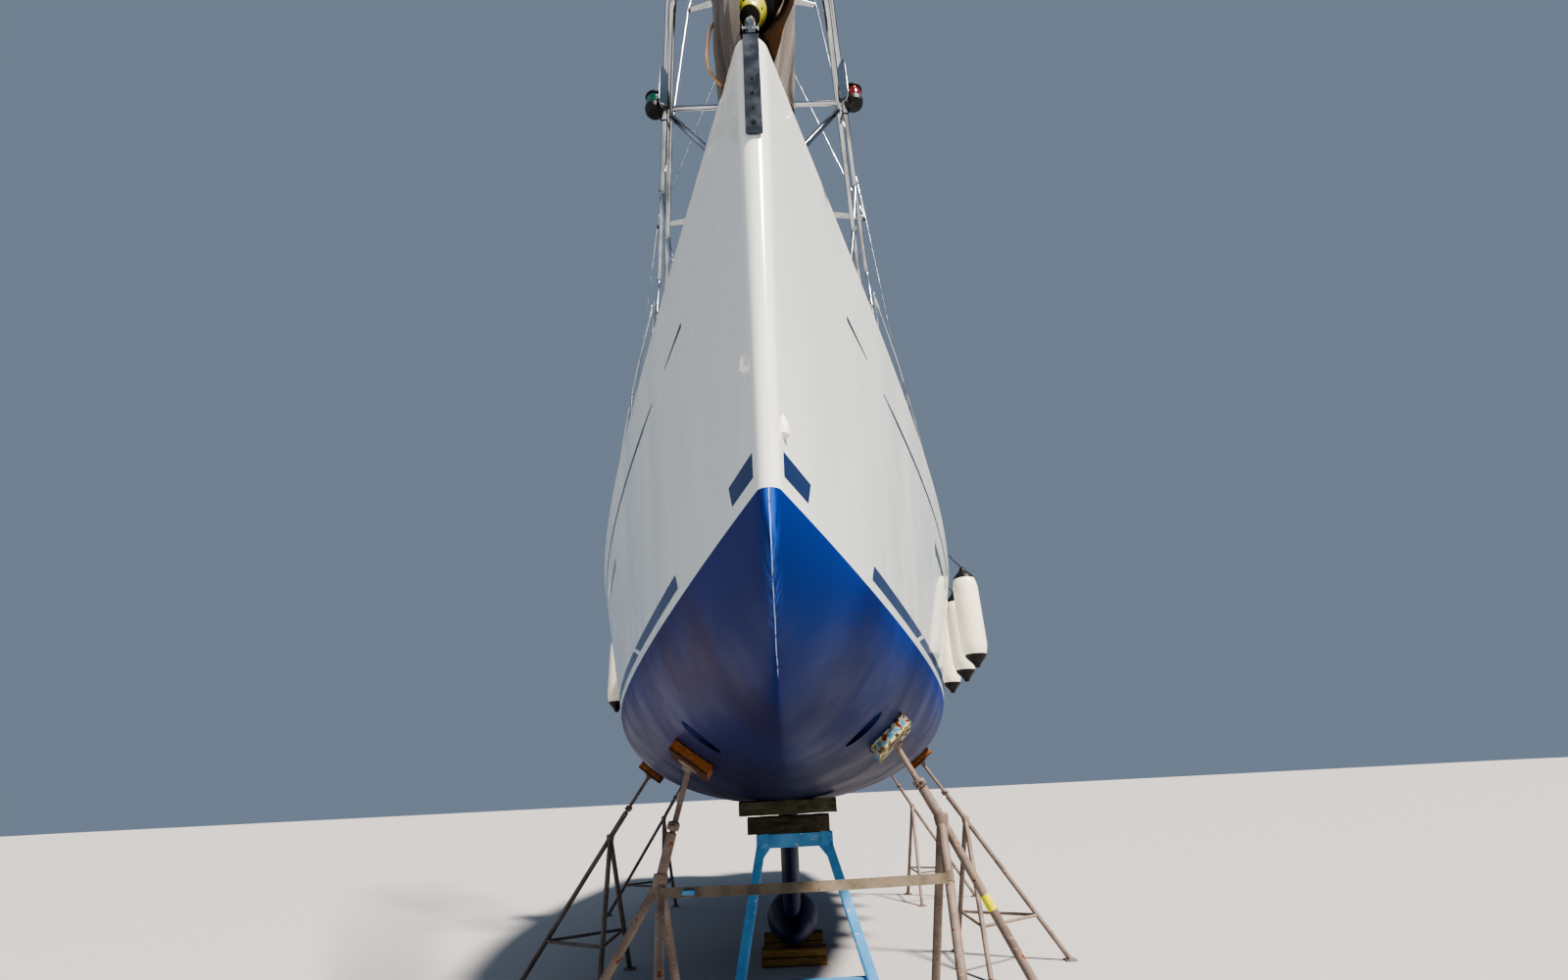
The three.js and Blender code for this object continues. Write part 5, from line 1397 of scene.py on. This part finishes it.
def make_tripod(place, side, s, z, reach, drop, span):
    step = 0.02
    x = hull_half(s, z)
    run, climb = off(hull_half(s + step, z) - x, step, 0), off(hull_half(s, z + step) - x, 0, step)
    normal = run.cross(climb).normalized()
    normal.x *= side
    along = (AFT - normal * normal.y).normalized()
    face, apex = at(side * x, s, z), at(side * (x + reach), s, z - drop)
    head = face + normal * 0.06
    thick, plies = BOARD["thick"], BOARD["plies"]
    ply = thick / plies
    centre = face + normal * BOARD["out"]
    axes = (along, normal.cross(along), normal)
    looks = BOARD_CREAM if (place, side) == ("fore", 1) else BOARD_BROWN
    near = [near_hull(max(s - 0.6, 0.1), s + 0.6, 16)]
    entries = []
    for k in range(plies):
        size = BOARD["size"] - 0.0006 * (k % 2)
        form = cuboid(centre + normal * ((k + 0.5) * ply - thick / 2), axes, (size, size, ply - 0.0004))
        entries.append((carved(form, near) if k < 2 else form, looks[0 < k < plies - 1]))
    start, neck, collar = head - normal * 0.02, apex.lerp(head, 0.4), apex.lerp(head, 0.46)
    sleeve = (apex - neck).length
    pitch = 0.007
    turns = int((neck - start).length / pitch) + 4
    thread = [(r, (k + share) * pitch) for k in range(turns) for r, share in ((0.0152, 0), (0.0172, 0.5))]
    forms = [
        turned([(0, -0.002), (0.062, -0.002), (0.064, 0.004), (0.03, 0.01), (0.026, 0.03), (0, 0.032)],
               face + normal * (BOARD["out"] + thick / 2), normal, 28),
        turned([(0.0, 0), *thread, (0.0152, turns * pitch), (0, turns * pitch)], start, apex - start, 18),
        turned([(0.016, 0), (0.0272, 0.002), (0.0272, sleeve), (0, sleeve)], neck, apex - neck),
        turned([(0.016, -0.02), (0.03, -0.018), (0.034, -0.006), (0.034, 0.012), (0.03, 0.022),
                (0.017, 0.024)],
               collar, apex - head, 12),
        tube([collar - AFT * 0.13, collar + AFT * 0.13], 0.009),
        turned([(0, -0.03), (0.036, -0.03), (0.04, -0.01), (0.034, 0.035), (0, 0.04)], apex, -UP, 20)]
    for end in (-1, 1):
        forms.append(turned([(0, -0.012), (0.012, -0.009), (0.014, 0), (0.012, 0.009), (0, 0.012)],
                            collar + AFT * 0.126 * end, AFT, 14))
    feet = []
    inner, spread = INNER_FOOT
    for dx, ds in ((span, 0), (inner, spread), (inner, -spread)):
        foot = at(side * (x + reach + dx), s + ds, 0.008)
        feet.append(foot)
        forms += [tube([apex, foot + (apex - foot).normalized() * 0.01], 0.0238, 18),
                  foot_plate(foot.x, s + ds, 0.055, 0.006),
                  turned([(0.03, 0), (0.028, 0.008), (0.0245, 0.013)], foot + UP * 0.001, UP, 16)]
    ring = [apex.lerp(foot, 0.7) for foot in feet]
    forms += [tube([a, b], 0.0138) for a, b in zip(ring, ring[1:] + ring[:1])]
    name = f"{place}_{'port' if side > 0 else 'starboard'}"
    entries += [(form, PROP) for form in forms]
    if name == "fore_port":
        entries.append((tube([apex.lerp(feet[0], share) for share in (0.255, 0.305)], 0.0244, 18), TAPE))
    piece("prop_" + name, entries, PROP, stands_for=["tripod_" + name], bevel=0.0015)


def make_webbing():
    """The strap that ties the two fore props together under the bow, with its buckle."""
    ends, loops = [], []
    inner, spread = INNER_FOOT
    for (_, side, s, z, reach, drop, _), height in ((TRIPODS[1], 1.155), (TRIPODS[0], 1.165)):
        apex = at(side * (hull_half(s, z) + reach), s, z - drop)
        leg = off(side * inner, -spread, -apex.z)
        ends.append(apex + leg * (1 - height / apex.z))
        loops.append(turned([(0.0242, -0.024), (0.0272, -0.024), (0.0272, 0.024), (0.0242, 0.024)], ends[-1],
                            off(side * inner, -spread, -1.21 if side < 0 else -1.43), 20))
    points = [ends[0].lerp(ends[1], share) - off(0, 0.026, 0.006 * sin(pi * share))
              for share in spaced(0, 1, 24)]
    strap = ribbon(points, (0, 0.25, 1), 0.048, 0.0026)
    buckle = ribbon(points[2:4], AFT, 0.056, 0.02)
    piece("prop_webbing", [strap, *loops, (buckle, TRESTLE)], WEBBING)


# Glass in the walls, a little behind the outer face

def make_windows():
    for name, side in SIDES:
        shell = carved(hull_body(0.006, 0, spaced(3.2, 5.0, 18), 6, 8),
                       [hull_body(0.014, 0.05, spaced(3.1, 5.1, 20), 6, 8)])
        pane = carved(shell, [hull_window_cutter(side, 0.002)], "INTERSECT")
        for place, form in (("hull", pane), ("roof", roof_glass(side, -0.002))):
            piece(f"{place}_glass_{name}", [form], GLASS, stands_for=[f"{place}_window_{name}"],
                  crease=50)


# Mast, spreaders and standing rigging

WIRE = 0.006
SPREADERS = ((1.365, 5.18, 8.457), (1.03, 5.28, 13.145))
MAST_TOP = 19.6


def mast_ring(z, size):
    return oval(at(0, mast_s(z), z), PORT * 0.08 * size, AFT * 0.12 * size, 40)


def make_mast():
    foot = roof_top(5.03) + 0.0123
    spar = ((foot, 1), (8, 1), (12, 1), (17.5, 1), (18.6, 0.87), (MAST_TOP, 0.72))
    collar = ((foot, 1.0), (foot + 0.001, 1.12), (foot + 0.05, 1.1), (foot + 0.06, 1.0))
    track = ((-0.012, 0.118), (0.012, 0.118), (0.012, 0.129), (-0.012, 0.129))
    forms = [loft([mast_ring(*row) for row in spar]), (loft([mast_ring(*row) for row in collar]), BLACK),
             loft([[at(x, mast_s(z) + aft, z) for x, aft in track] for z in (5.35, 17.4)])]
    for x, s, z in SPREADERS:
        root_s, root_z = mast_s(z - 0.06) + 0.01, z - 0.06
        for side in (1, -1):
            inner, outer = at(side * 0.02, root_s, root_z), at(side * (x - WIRE - 0.003), s, z)
            rings = []
            for share in spaced(0, 1, 10):
                chord, thick = 0.17 - 0.1 * share, 0.044 - 0.02 * share
                rings.append([inner.lerp(outer, share)
                              + off(0, -chord / 2 * cos(a), thick / 2 * sin(a) * (1 + 0.35 * cos(a)))
                              for a in around(20)])
            boot = turned([(0.0, -0.05), (0.014, -0.045), (0.019, 0), (0.014, 0.045), (0, 0.05)],
                          at(side * (x - 0.018), s, z), UP, 16)
            bracket = cuboid(at(side * 0.07, root_s, root_z), (PORT, AFT, UP), (0.06, 0.16, 0.075))
            forms += [loft(rings), (boot, BLACK), (bracket, STEEL_DULL)]
    head = mast_s(MAST_TOP)
    crane = ((-0.13, -0.02), (-0.05, 0), (0.26, 0), (0.33, -0.03), (0.3, -0.06), (-0.11, -0.06))
    forms.append(slab("x", [(head + s, MAST_TOP + z) for s, z in crane], -0.028, 0.028))
    length = (STAY_HEAD - STAY_FOOT).length
    forms.append((tube([stay_point(length - 0.26), stay_point(length + 0.06)], 0.011, 14), STEEL))
    forms.append(block(-0.022, 0.022, mast_s(5.15) + 0.06, 4.992, 5.09, 5.21))
    forms.append(block(-0.02, 0.02, mast_s(4.42) + 0.06, 4.992, 4.39, 4.45))
    winch = [(0, -0.004), (0.04, 0), (0.038, 0.02), (0.03, 0.026), (0.026, 0.06), (0.034, 0.085),
             (0.034, 0.094), (0.014, 0.1), (0, 0.1)]
    for z, x, y in ((4.9, sin(0.5), -cos(0.5)), (5.6, 1, 0.1)):
        for side in (1, -1):
            out = off(side * x, y, 0)
            forms.append((turned(winch, at(0, mast_s(z), z) + out * 0.072, out, 22), STEEL_DULL))
    piece("mast_spar", forms, ALLOY, stands_for=["mast"], crease=40)


def turnbuckle(foot, head):
    """Fork, body and lock nuts at the lower end of a wire."""
    return turned([(0.0, 0.0), (0.011, 0.002), (0.011, 0.055), (0.007, 0.06), (0.007, 0.085), (0.0125, 0.088),
                   (0.0135, 0.15), (0.0125, 0.235), (0.007, 0.238), (0.007, 0.265), (0.0095, 0.268),
                   (0.0085, 0.36), (0.0061, 0.365), (0, 0.366)], foot, head - foot, 18)


def make_shrouds(name, side):
    x, s = 1.75, 5.45
    foot_height = deck_z(x, s) - 0.006
    low, high = (at(tip_x + 0.003, tip_s, tip_z) for tip_x, tip_s, tip_z in SPREADERS)
    foot, lower_foot = (at(x, place, foot_height + 0.045) for place in (s, s - 0.1))
    head = at(0.075, mast_s(19.15), 19.15)
    lower_root, middle_root = (at(0.078, mast_s(z) + 0.02, z) for z in (8.25, 12.9))
    plate = block(x - 0.008, x + 0.008, s - 0.13, s + 0.045, foot_height + 0.004, foot_height + 0.07)
    base = slab("z", rounded(x - 0.03, x + 0.03, s - 0.15, s + 0.065, 0.02, 4), foot_height + 0.0062,
                foot_height + 0.018)
    forms = [tube([foot, low, high, head], WIRE), tube([lower_foot, lower_root], WIRE),
             tube([low, middle_root], WIRE), plate, base, turnbuckle(foot, low),
             turnbuckle(lower_foot, lower_root)]
    for end, pull in ((lower_root, lower_foot), (middle_root, low), (head, high)):
        forms.append(turned([(0.0061, 0.18), (0.009, 0.17), (0.0095, 0.03), (0.006, 0.0), (0, 0)], end,
                            pull - end, 14))
    if side < 0:
        forms = [mirrored(form) for form in forms]
    piece("shroud_wires_" + name, forms, STEEL, stands_for=["shrouds_" + name])


def make_backstay():
    split = at(0, 12.5, 6.8)
    foot = at(1.18, 13.35, deck_z(1.18, 13.35) + 0.042)
    half = [tube([split, foot], WIRE), box(foot - off(0.008, 0.045, 0.041), foot + off(0.008, 0.025, 0.028)),
            turnbuckle(foot, split)]
    plug = [(0, 0), (0.014, 0.004), (0.027, 0.04), (0.027, 0.2), (0.014, 0.25), (0, 0.256)]
    forms = [tube([at(0, mast_s(MAST_TOP) + 0.3, MAST_TOP - 0.064), split], WIRE), *half,
             *(mirrored(form) for form in half), turned(plug, at(0, 12.56, 6.6), off(0, -0.09, 0.24), 20)]
    piece("backstay_wires", forms, STEEL, stands_for=["backstay"])


# Boom and the mainsail stowed on it

GOOSENECK = {"s": 5.03, "z": 5.15, "vang_z": 4.42}
BOOM_END = 10.4
# Distance along the boom, half width and height of the pack
SAIL_SECTIONS = ((0.15, 0.085, 0.55), (0.42, 0.165, 0.59), (1.7, 0.186, 0.462), (3.5, 0.167, 0.354),
                 (4.9, 0.127, 0.255), (5.2, 0.068, 0.195))
TIES = (0.6, 1.35, 2.1, 2.85, 3.6, 4.35, 4.95)


def boom_at(distance, rise=0.0, x=0.0):
    return at(x, GOOSENECK["s"] + distance, GOOSENECK["z"] + 0.012 * distance + rise)


def fuller(value, power):
    """A sine or cosine pushed out towards a square's side, with its sign kept."""
    return copysign(abs(value) ** power, value)


def make_boom():
    length = BOOM_END - GOOSENECK["s"]
    rings = []
    for distance, size in ((0.07, 0.9), (0.075, 1), (length - 0.03, 1), (length, 0.86)):
        rings.append([boom_at(distance, 0.095 * size * fuller(sin(a), 0.8),
                              0.062 * size * fuller(cos(a), 0.8))
                      for a in around(36)])
    foot, head = at(0, GOOSENECK["s"], GOOSENECK["vang_z"]), boom_at(1.65, -0.08)
    middle = foot.lerp(head, 0.55)
    rod, reach = (head - foot).normalized(), (middle - foot).length
    pin = turned([(0.014, 0), (0.02, 0.004), (0.02, 0.136), (0.014, 0.14)], boom_at(0, -0.07), UP, 20)
    hub = turned([(0, -0.03), (0.022, -0.028), (0.022, 0.028), (0, 0.03)], foot, UP, 18)
    case = turned([(0.02, 0), (0.034, 0.012), (0.036, 0.02), (0.036, reach - 0.1), (0.034, reach - 0.09),
                   (0.022, reach - 0.085)], foot + rod * 0.07, rod, 28)
    forms = [loft(rings), box(boom_at(-0.025, -0.05, -0.016), boom_at(0.09, 0.05, 0.016)), (pin, STEEL_DULL),
             (hub, STEEL_DULL), (tube([foot, foot + rod * 0.11], 0.024, 18), STEEL_DULL), case,
             (tube([middle - rod * 0.06, head], 0.023, 18), STEEL)]
    for distance in (1.2, 2.6, 4.0):
        eye = [boom_at(distance, -0.11 + 0.02 * sin(a), 0.03 * cos(a)) for a in spaced(-pi, 0, 10)]
        forms.append((tube(eye, 0.004, 8), STEEL))
    sheave = [(0.0, -0.03), (0.034, -0.03), (0.036, 0), (0.034, 0.03), (0, 0.03)]
    forms.append((turned(sheave, boom_at(length - 0.16), PORT, 20), BLACK))
    piece("boom_spar", forms, ALLOY, body="boom_body", stands_for=["boom"], bevel=0.0015)


def make_stowed_sail():
    """The stack-pack: two canvas sides over the flaked sail, closed by a zip, held by ties to the boom."""
    rings = []
    for distance in spaced(0.15, 5.2, 120):
        half, top = read_line(SAIL_SECTIONS, distance)
        tied = max(exp(-((distance - tie) / 0.09) ** 2) for tie in TIES)
        swell = 1 - 0.09 * tied + 0.02 * sin(distance * 9.1)
        ring = []
        for a in around(56):
            u, v = fuller(cos(a), 0.75), 0.5 + 0.5 * fuller(sin(a), 0.8)
            fold = 0.006 * sin(9 * a + distance * 4) + 0.004 * sin(17 * a - distance * 7.3)
            rise = 0.099 + (top - 0.112) * v + 0.004 * sin(distance * 6.3 + a)
            wide = half * 0.94 * u * (1 - 0.42 * v ** 2.2) * swell
            ring.append(boom_at(distance, rise, wide + fold * (1 if u > 0 else -1)))
        rings.append(ring)
    zip_line = [boom_at(distance, read_line(SAIL_SECTIONS, distance)[1] - 0.014, 0.004 * sin(5 * distance))
                for distance in spaced(0.3, 5.05, 60)]
    bands = []
    for tie in TIES:
        half, top = read_line(SAIL_SECTIONS, tie)
        loop = []
        for a in spaced(1.5 * pi, 3.5 * pi, 32):
            narrow = 1 - 0.42 * max(0.5 + 0.5 * sin(a), 0) ** 2.2
            reach = max(0.066, half * 0.9 * narrow) * fuller(cos(a), 0.75)
            loop.append(boom_at(tie, -0.099 + (top + 0.099) * (fuller(sin(a), 0.8) + 1) / 2, reach))
        bands.append(tube(loop, 0.0065, 6))
    pack = piece("sail_pack", [loft(rings), (ribbon(zip_line, PORT, 0.03, 0.006), BLACK)], CANVAS,
                 body="boom_body", stands_for=["stowed_sail"], crease=60)
    piece("sail_ties", bands, WEB_DARK, body="boom_body")


# Cockpit

HELM_X = 0.86


def make_pedestal(name, side):
    x = side * HELM_X
    rings = []
    for z, half, front, back, soft in ((3.0003, 0.15, 11.96, 12.19, 0.03),
                                       (3.03, 0.148, 11.962, 12.188, 0.03),
                                       (3.5, 0.12, 11.985, 12.178, 0.035),
                                       (3.93, 0.096, 12.009, 12.167, 0.03),
                                       (3.96, 0.09, 12.014, 12.162, 0.028)):
        rings.append([at(u, v, z) for u, v in rounded(x - half, x + half, front, back, soft, 6)])
    panel = cuboid(at(x, 12.09, 3.9615), (PORT, AFT, UP), (0.13, 0.11, 0.004))
    dial = turned([(0, 0), (0.04, 0), (0.042, 0.006), (0.034, 0.012), (0.02, 0.022), (0, 0.026)],
                  at(x, 12.08, 3.963), UP, 30)
    lever = tube([at(x + side * 0.12, 12.08, 3.72), at(x + side * 0.14, 12.08, 3.82)], 0.007)
    boss = turned([(0, -0.012), (0.03, -0.012), (0.03, 0.01), (0.02, 0.016), (0, 0.016)],
                  at(x + side * 0.112, 12.08, 3.72), off(side * 1.888, 0, 0.18), 20)
    rail = ((0.11, 11.985, 3.1), (0.13, 11.94, 3.5), (0.09, 11.96, 3.93))
    path = [at(x - out, s, z) for out, s, z in rail] + [at(x + out, s, z) for out, s, z in reversed(rail)]
    piece("helm_pedestal_" + name,
          [loft(rings), (panel, BLACK), (dial, GLASS), (lever, STEEL), (boss, STEEL),
           (tube(smooth(path), 0.0105), STEEL)],
          GELCOAT, stands_for=["pedestal_" + name], bevel=0.002)


def make_wheel(name, side):
    centre = at(side * HELM_X, 12.29, 3.86)
    forms = [(tube(oval(centre, PORT * 0.45, UP * 0.45, 72), 0.0145, 14, True), LEATHER)]
    for a in around(36, 0.5):
        spot = centre + off(cos(a), 0, sin(a)) * 0.4365
        stitch = off(-sin(a), 0, cos(a)) * 0.011 - AFT * 0.003
        forms.append((tube([spot - stitch, spot + stitch], 0.0013, 5), BLACK))
    forms.append(turned([(0, 0), (0.03, 0), (0.03, 0.06), (0.046, 0.066), (0.046, 0.12), (0.04, 0.136),
                         (0.014, 0.144), (0, 0.144)], centre - AFT * 0.114, AFT, 30))
    for k in range(5):
        a = pi / 2 + 2 * pi * k / 5
        out = off(cos(a), 0, sin(a))
        line = smooth([centre + out * 0.03, centre + out * 0.2 - AFT * 0.012, centre + out * 0.44], 6)
        forms.append(tube(line, [0.0105 - 0.0035 * k / 12 for k in range(13)]))
    piece("steering_wheel_" + name, forms, STEEL, body=f"wheel_{name}_body", stands_for=["wheel_" + name])


def make_winch(name, side):
    low, high = deck_top(9.15) + 0.3, deck_top(11.9) + 0.24
    base = at(side * 1.3, 11.0, low + (high - low) * (11.0 - 9.15) / (11.4 - 9.15))
    body = turned([(0, 0.004), (0.098, 0.004), (0.098, 0.026), (0.09, 0.032), (0.07, 0.046), (0.063, 0.06),
                   (0.059, 0.09), (0.062, 0.125), (0.074, 0.144), (0.078, 0.148), (0.078, 0.154),
                   (0.05, 0.156), (0.05, 0.162), (0.078, 0.164), (0.078, 0.17), (0.06, 0.176), (0.03, 0.183),
                   (0.012, 0.1838), (0.012, 0.17), (0, 0.17)], base, UP, 44)
    ribs = [tube([base + out * 0.0595 + UP * 0.062, base + out * 0.0588 + UP * 0.118], 0.0022, 6)
            for out in oval(off(0, 0, 0), PORT, AFT, 20)]
    arm = smooth([base + off(*point) for point in (
        (0, 0.03, 0.178), (0, 0.075, 0.18), (0.02, 0.09, 0.166), (0.03, 0.086, 0.15))], 6)
    piece("sheet_winch_" + name, [body, *ribs, (tube(arm, 0.006, 10), STEEL_DULL)], STEEL,
          stands_for=["winch_" + name], crease=30)


# Hatches and lids

def make_hatch(name, node, s0, s1, half, foot, top):
    edge, ledge = 0.035, foot + 0.004

    def inset(by, soft=0.03):
        return rounded(-half + by, half - by, s0 + by, s1 - by, soft, 5)

    recess = slab("z", inset(edge), ledge, top + 0.1)
    opening = slab("z", inset(edge + 0.01), foot - 0.1, ledge + 0.01)
    frame_form = carved(slab("z", inset(0, 0.05), foot, top - 0.004), [recess, opening])
    forms = [frame_form, (slab("z", inset(edge + 0.001), ledge + 0.0005, top), GLASS)]
    for x in (-half * 0.6, half * 0.6):
        forms.append((block(x - 0.035, x + 0.035, s0, s0 + 0.04, top - 0.02, top - 0.001), BLACK))
        forms.append((turned([(0, -0.004), (0.02, -0.002), (0.02, 0.003), (0.01, 0.008), (0, 0.009)],
                             at(x, s1 - 0.07, top - 0.002), UP, 18), BLACK))
    piece(name, forms, ALLOY, body=node + "_body", stands_for=[node], bevel=0.0025)


def make_anchor_lid():
    def layer(margin, thick, lift=0.001):
        fore, aft = ((s, deck_top(s) + lift) for s in (LID["fore"], LID["aft"]))
        outline = [(fore[0], fore[1] - thick), fore, aft, (aft[0], aft[1] - thick)]
        return carved(slab("x", outline, -0.6, 0.6), [slab("z", lid_outline(margin), 3.3, 4.4)], "INTERSECT")

    lid = joined([layer(-0.004, 0.016), layer(-0.03, 0.048)])
    catch = turned([(0, -0.002), (0.022, 0), (0.022, 0.003), (0.016, 0.0045), (0, 0.004)],
                   at(0, 1.5, deck_top(1.5) + 0.001), UP, 22)
    piece("locker_lid", [lid, (layer(-0.07, 0.003, 0.0025), NONSKID), (catch, STEEL)], DECK_GEL,
          body="anchor_lid_body", stands_for=["anchor_locker_lid"], bevel=0.002)


def make_companionway():
    top, half, s0, s1, rim = ROOF["top"], 0.38, 8.24, 9.22, 0.035
    outline = rounded(-half, half, s0, s1, 0.05, 5)
    inner = rounded(rim - half, half - rim, s0 + rim, s1 - rim, 0.03, 5)
    frame_form = carved(slab("z", outline, top + 0.008, top + 0.042), [slab("z", inner, top, top + 0.1)])
    runners = [block(x0, x1, s0, s1, top - 0.003, top + 0.02) for x0, x1 in ((-half, -0.356), (0.356, half))]
    grip = smooth([at(x, s, top + rise) for x, s, rise in (
        (-0.1, 9.2, 0.04), (-0.09, 9.19, 0.065), (0.09, 9.19, 0.065), (0.1, 9.2, 0.04))], 6)
    piece("slide_hatch", [slab("z", outline, top + 0.012, top + 0.034), (frame_form, DECK_GEL),
                          *((form, ALLOY) for form in runners), (tube(grip, 0.007), STEEL)], GLASS,
          body="slide_body", stands_for=["companionway_slide"], bevel=0.002)
    board = slab("y", rounded(-0.3197, 0.3197, 3.4503, top - 0.008, 0.012, 4), 9.166, 9.194)
    vents = [(slab("y", rounded(-0.12, 0.12, z, z + 0.012, 0.005, 4), 9.1935, 9.1965), BLACK)
             for z in (3.85, 3.88, 3.91)]
    piece("companion_board", [board, *vents], GLASS, stands_for=["washboard"],
          bevel=0.002)


# Bathing ladder on the transom

LADDER_HINGE = (13.975, 2.7)
TRANSOM_SLOPE = (13.233 - 14.4) / (4.5 - 1.0)


def transom_s(z):
    return 14.4 + (z - 1.0) * TRANSOM_SLOPE


def make_ladder():
    def on(x, distance):
        return at(x, LADDER_HINGE[0] + distance * TRANSOM_SLOPE, LADDER_HINGE[1] + distance)

    rail = tube(smooth([on(-0.19, -0.006), on(-0.19, 0.4), on(-0.19, 0.76), on(-0.16, 0.8)], 6), 0.013, 16)
    forms = [tube([on(-0.24, 0), on(0.24, 0)], 0.014, 16), rail, mirrored(rail)]
    for distance in (0.23, 0.48, 0.73):
        forms.append(tube([on(-0.19, distance), on(0.19, distance)], 0.0105, 16))
        forms.append((ribbon([on(-0.15, distance), on(0.15, distance)], (0, 1, 0.1), 0.024, 0.02), TEAK))
    piece("swim_ladder", forms, STEEL, body="ladder_body", stands_for=["bathing_ladder"])

    def behind(z, out=0.0):
        return transom_s(z) + 0.0003 + out, z

    bore = round_bar(at(-0.26, *LADDER_HINGE), at(0.26, *LADDER_HINGE), 0.02, 24)
    outline = [behind(2.6), behind(2.44), behind(2.44, 0.04), (14.004, 2.68),
               *arc((13.977, 2.701), 0.027, -10, 190, 8)]
    lugs = [carved(slab("x", outline, x - 0.008, x + 0.008), [bore]) for x in (-0.23, 0.23)]
    cleat = slab("x", [behind(2.56), behind(2.46), behind(2.46, 0.012), behind(2.56, 0.012)], -0.25, 0.25)
    piece("ladder_brackets", [*lugs, cleat], STEEL, stands_for=["ladder_lugs"],
          bevel=0.0015)


# Underwater gear

def make_propeller():
    start, ahead = shaft_point(0), shaft_point(2) - shaft_point(0)
    forms = [(tube([start, shaft_point(1.78)], 0.016, 24), STEEL_DULL)]
    for sides, profile in ((28, ((0.016, 1.63), (0.04, 1.64), (0.042, 1.68), (0.033, 1.76), (0.016, 1.765),
                                 (0.0, 1.765))),
                           (24, ((0.038, 1.759), (0.04, 1.765), (0.03, 1.8), (0.012, 1.826), (0, 1.829)))):
        forms.append(turned(profile, start, ahead, sides))
    ahead.normalize()
    side, up = axes_along(ahead)
    hub = shaft_point(1.694)
    inner, outer = 0.03, 0.23
    for turn in around(3):
        out = side * cos(turn) + up * sin(turn)
        across = ahead.cross(out)
        rings = []
        for share in spaced(0, 1, 14):
            chord = 0.155 * sin(pi * (0.22 + 0.74 * share)) ** 0.6
            pitch = 0.95 - 0.55 * share
            thick = 0.011 * (1 - share) + 0.0018
            wide = across * cos(pitch) + ahead * sin(pitch)
            rings.append(oval(hub + out * (inner + (outer - inner) * share), wide * chord / 2,
                              wide.cross(out) * thick / 2, 16))
        forms.append(loft(rings))
    piece("screw_and_shaft", forms, BRONZE, body="propeller_body", stands_for=["propeller"])


def make_anode():
    """A small zinc anode on the shaft bracket's boss."""
    foot, head = shaft_point(1.39), shaft_point(1.51)
    ring = turned([(0.0365, 0.012), (0.041, 0.014), (0.041, 0.03), (0.0365, 0.032)], foot, head - foot)
    piece("bracket_anode", [ring], STEEL_DULL)


for make in (make_deck, make_deck_gear, make_cockpit_teak, make_stripes, make_vents, make_stem_fitting,
             make_pulpit, make_bow_lights):
    make()
for name, side in SIDES:
    make_lifelines(name, side)
for make in (make_drum, make_headsail, make_skirt, make_lashing, make_windows, make_keel, make_rudder):
    make()
for fender in FENDERS:
    make_fender(*fender)
for make in (make_trestle, make_keel_blocks):
    make()
for tripod in TRIPODS:
    make_tripod(*tripod)
for make in (make_webbing, make_mast):
    make()
for name, side in SIDES:
    make_shrouds(name, side)
for make in (make_backstay, make_boom, make_stowed_sail):
    make()
for make in (make_pedestal, make_wheel, make_winch):
    for name, side in SIDES:
        make(name, side)
make_hatch(*HATCHES[0], deck_top(2.3) - 0.03, deck_top(2.3) + 0.045)
make_hatch(*HATCHES[1], ROOF["top"] - 0.025, ROOF["top"] + 0.045)
for make in (make_anchor_lid, make_companionway, make_ladder, make_propeller, make_anode):
    make()


# Stage: floor, sky and lights

# Name, direction that it shines from, strength, colour and spread of each light
LIGHTS = (("key", (0.5, -0.64, 1.0), 6.8, "FFF4E6", 6), ("fill", (-0.9, -0.3, 0.5), 0.18, "DCE8F8", 60))


def make_stage():
    floor = shown("floor", mesh_of("floor", [box((-300, -300, -0.02), (300, 300, -0.002))]))
    look = Look("floor", "B9B8B8", 0.8)
    look.feed(look.shader["Base Color"], look.tone)
    floor.data.materials.append(look.material)
    world = bpy.data.worlds.new("world")
    bpy.context.scene.world = world
    world.use_nodes = True
    background = world.node_tree.nodes["Background"]
    background.inputs["Color"].default_value = linear("A3B3C8")
    background.inputs["Strength"].default_value = 0.45
    bpy.context.scene.view_settings.look = "AgX - High Contrast"
    for name, direction, strength, colour, spread in LIGHTS:
        data = bpy.data.lights.new(name, "SUN")
        data.energy = strength
        data.color = linear(colour)[:3]
        data.angle = radians(spread)
        lamp = shown(name, data)
        lamp.rotation_mode = "QUATERNION"
        lamp.rotation_quaternion = Vector(direction).to_track_quat("Z", "Y")


make_stage()
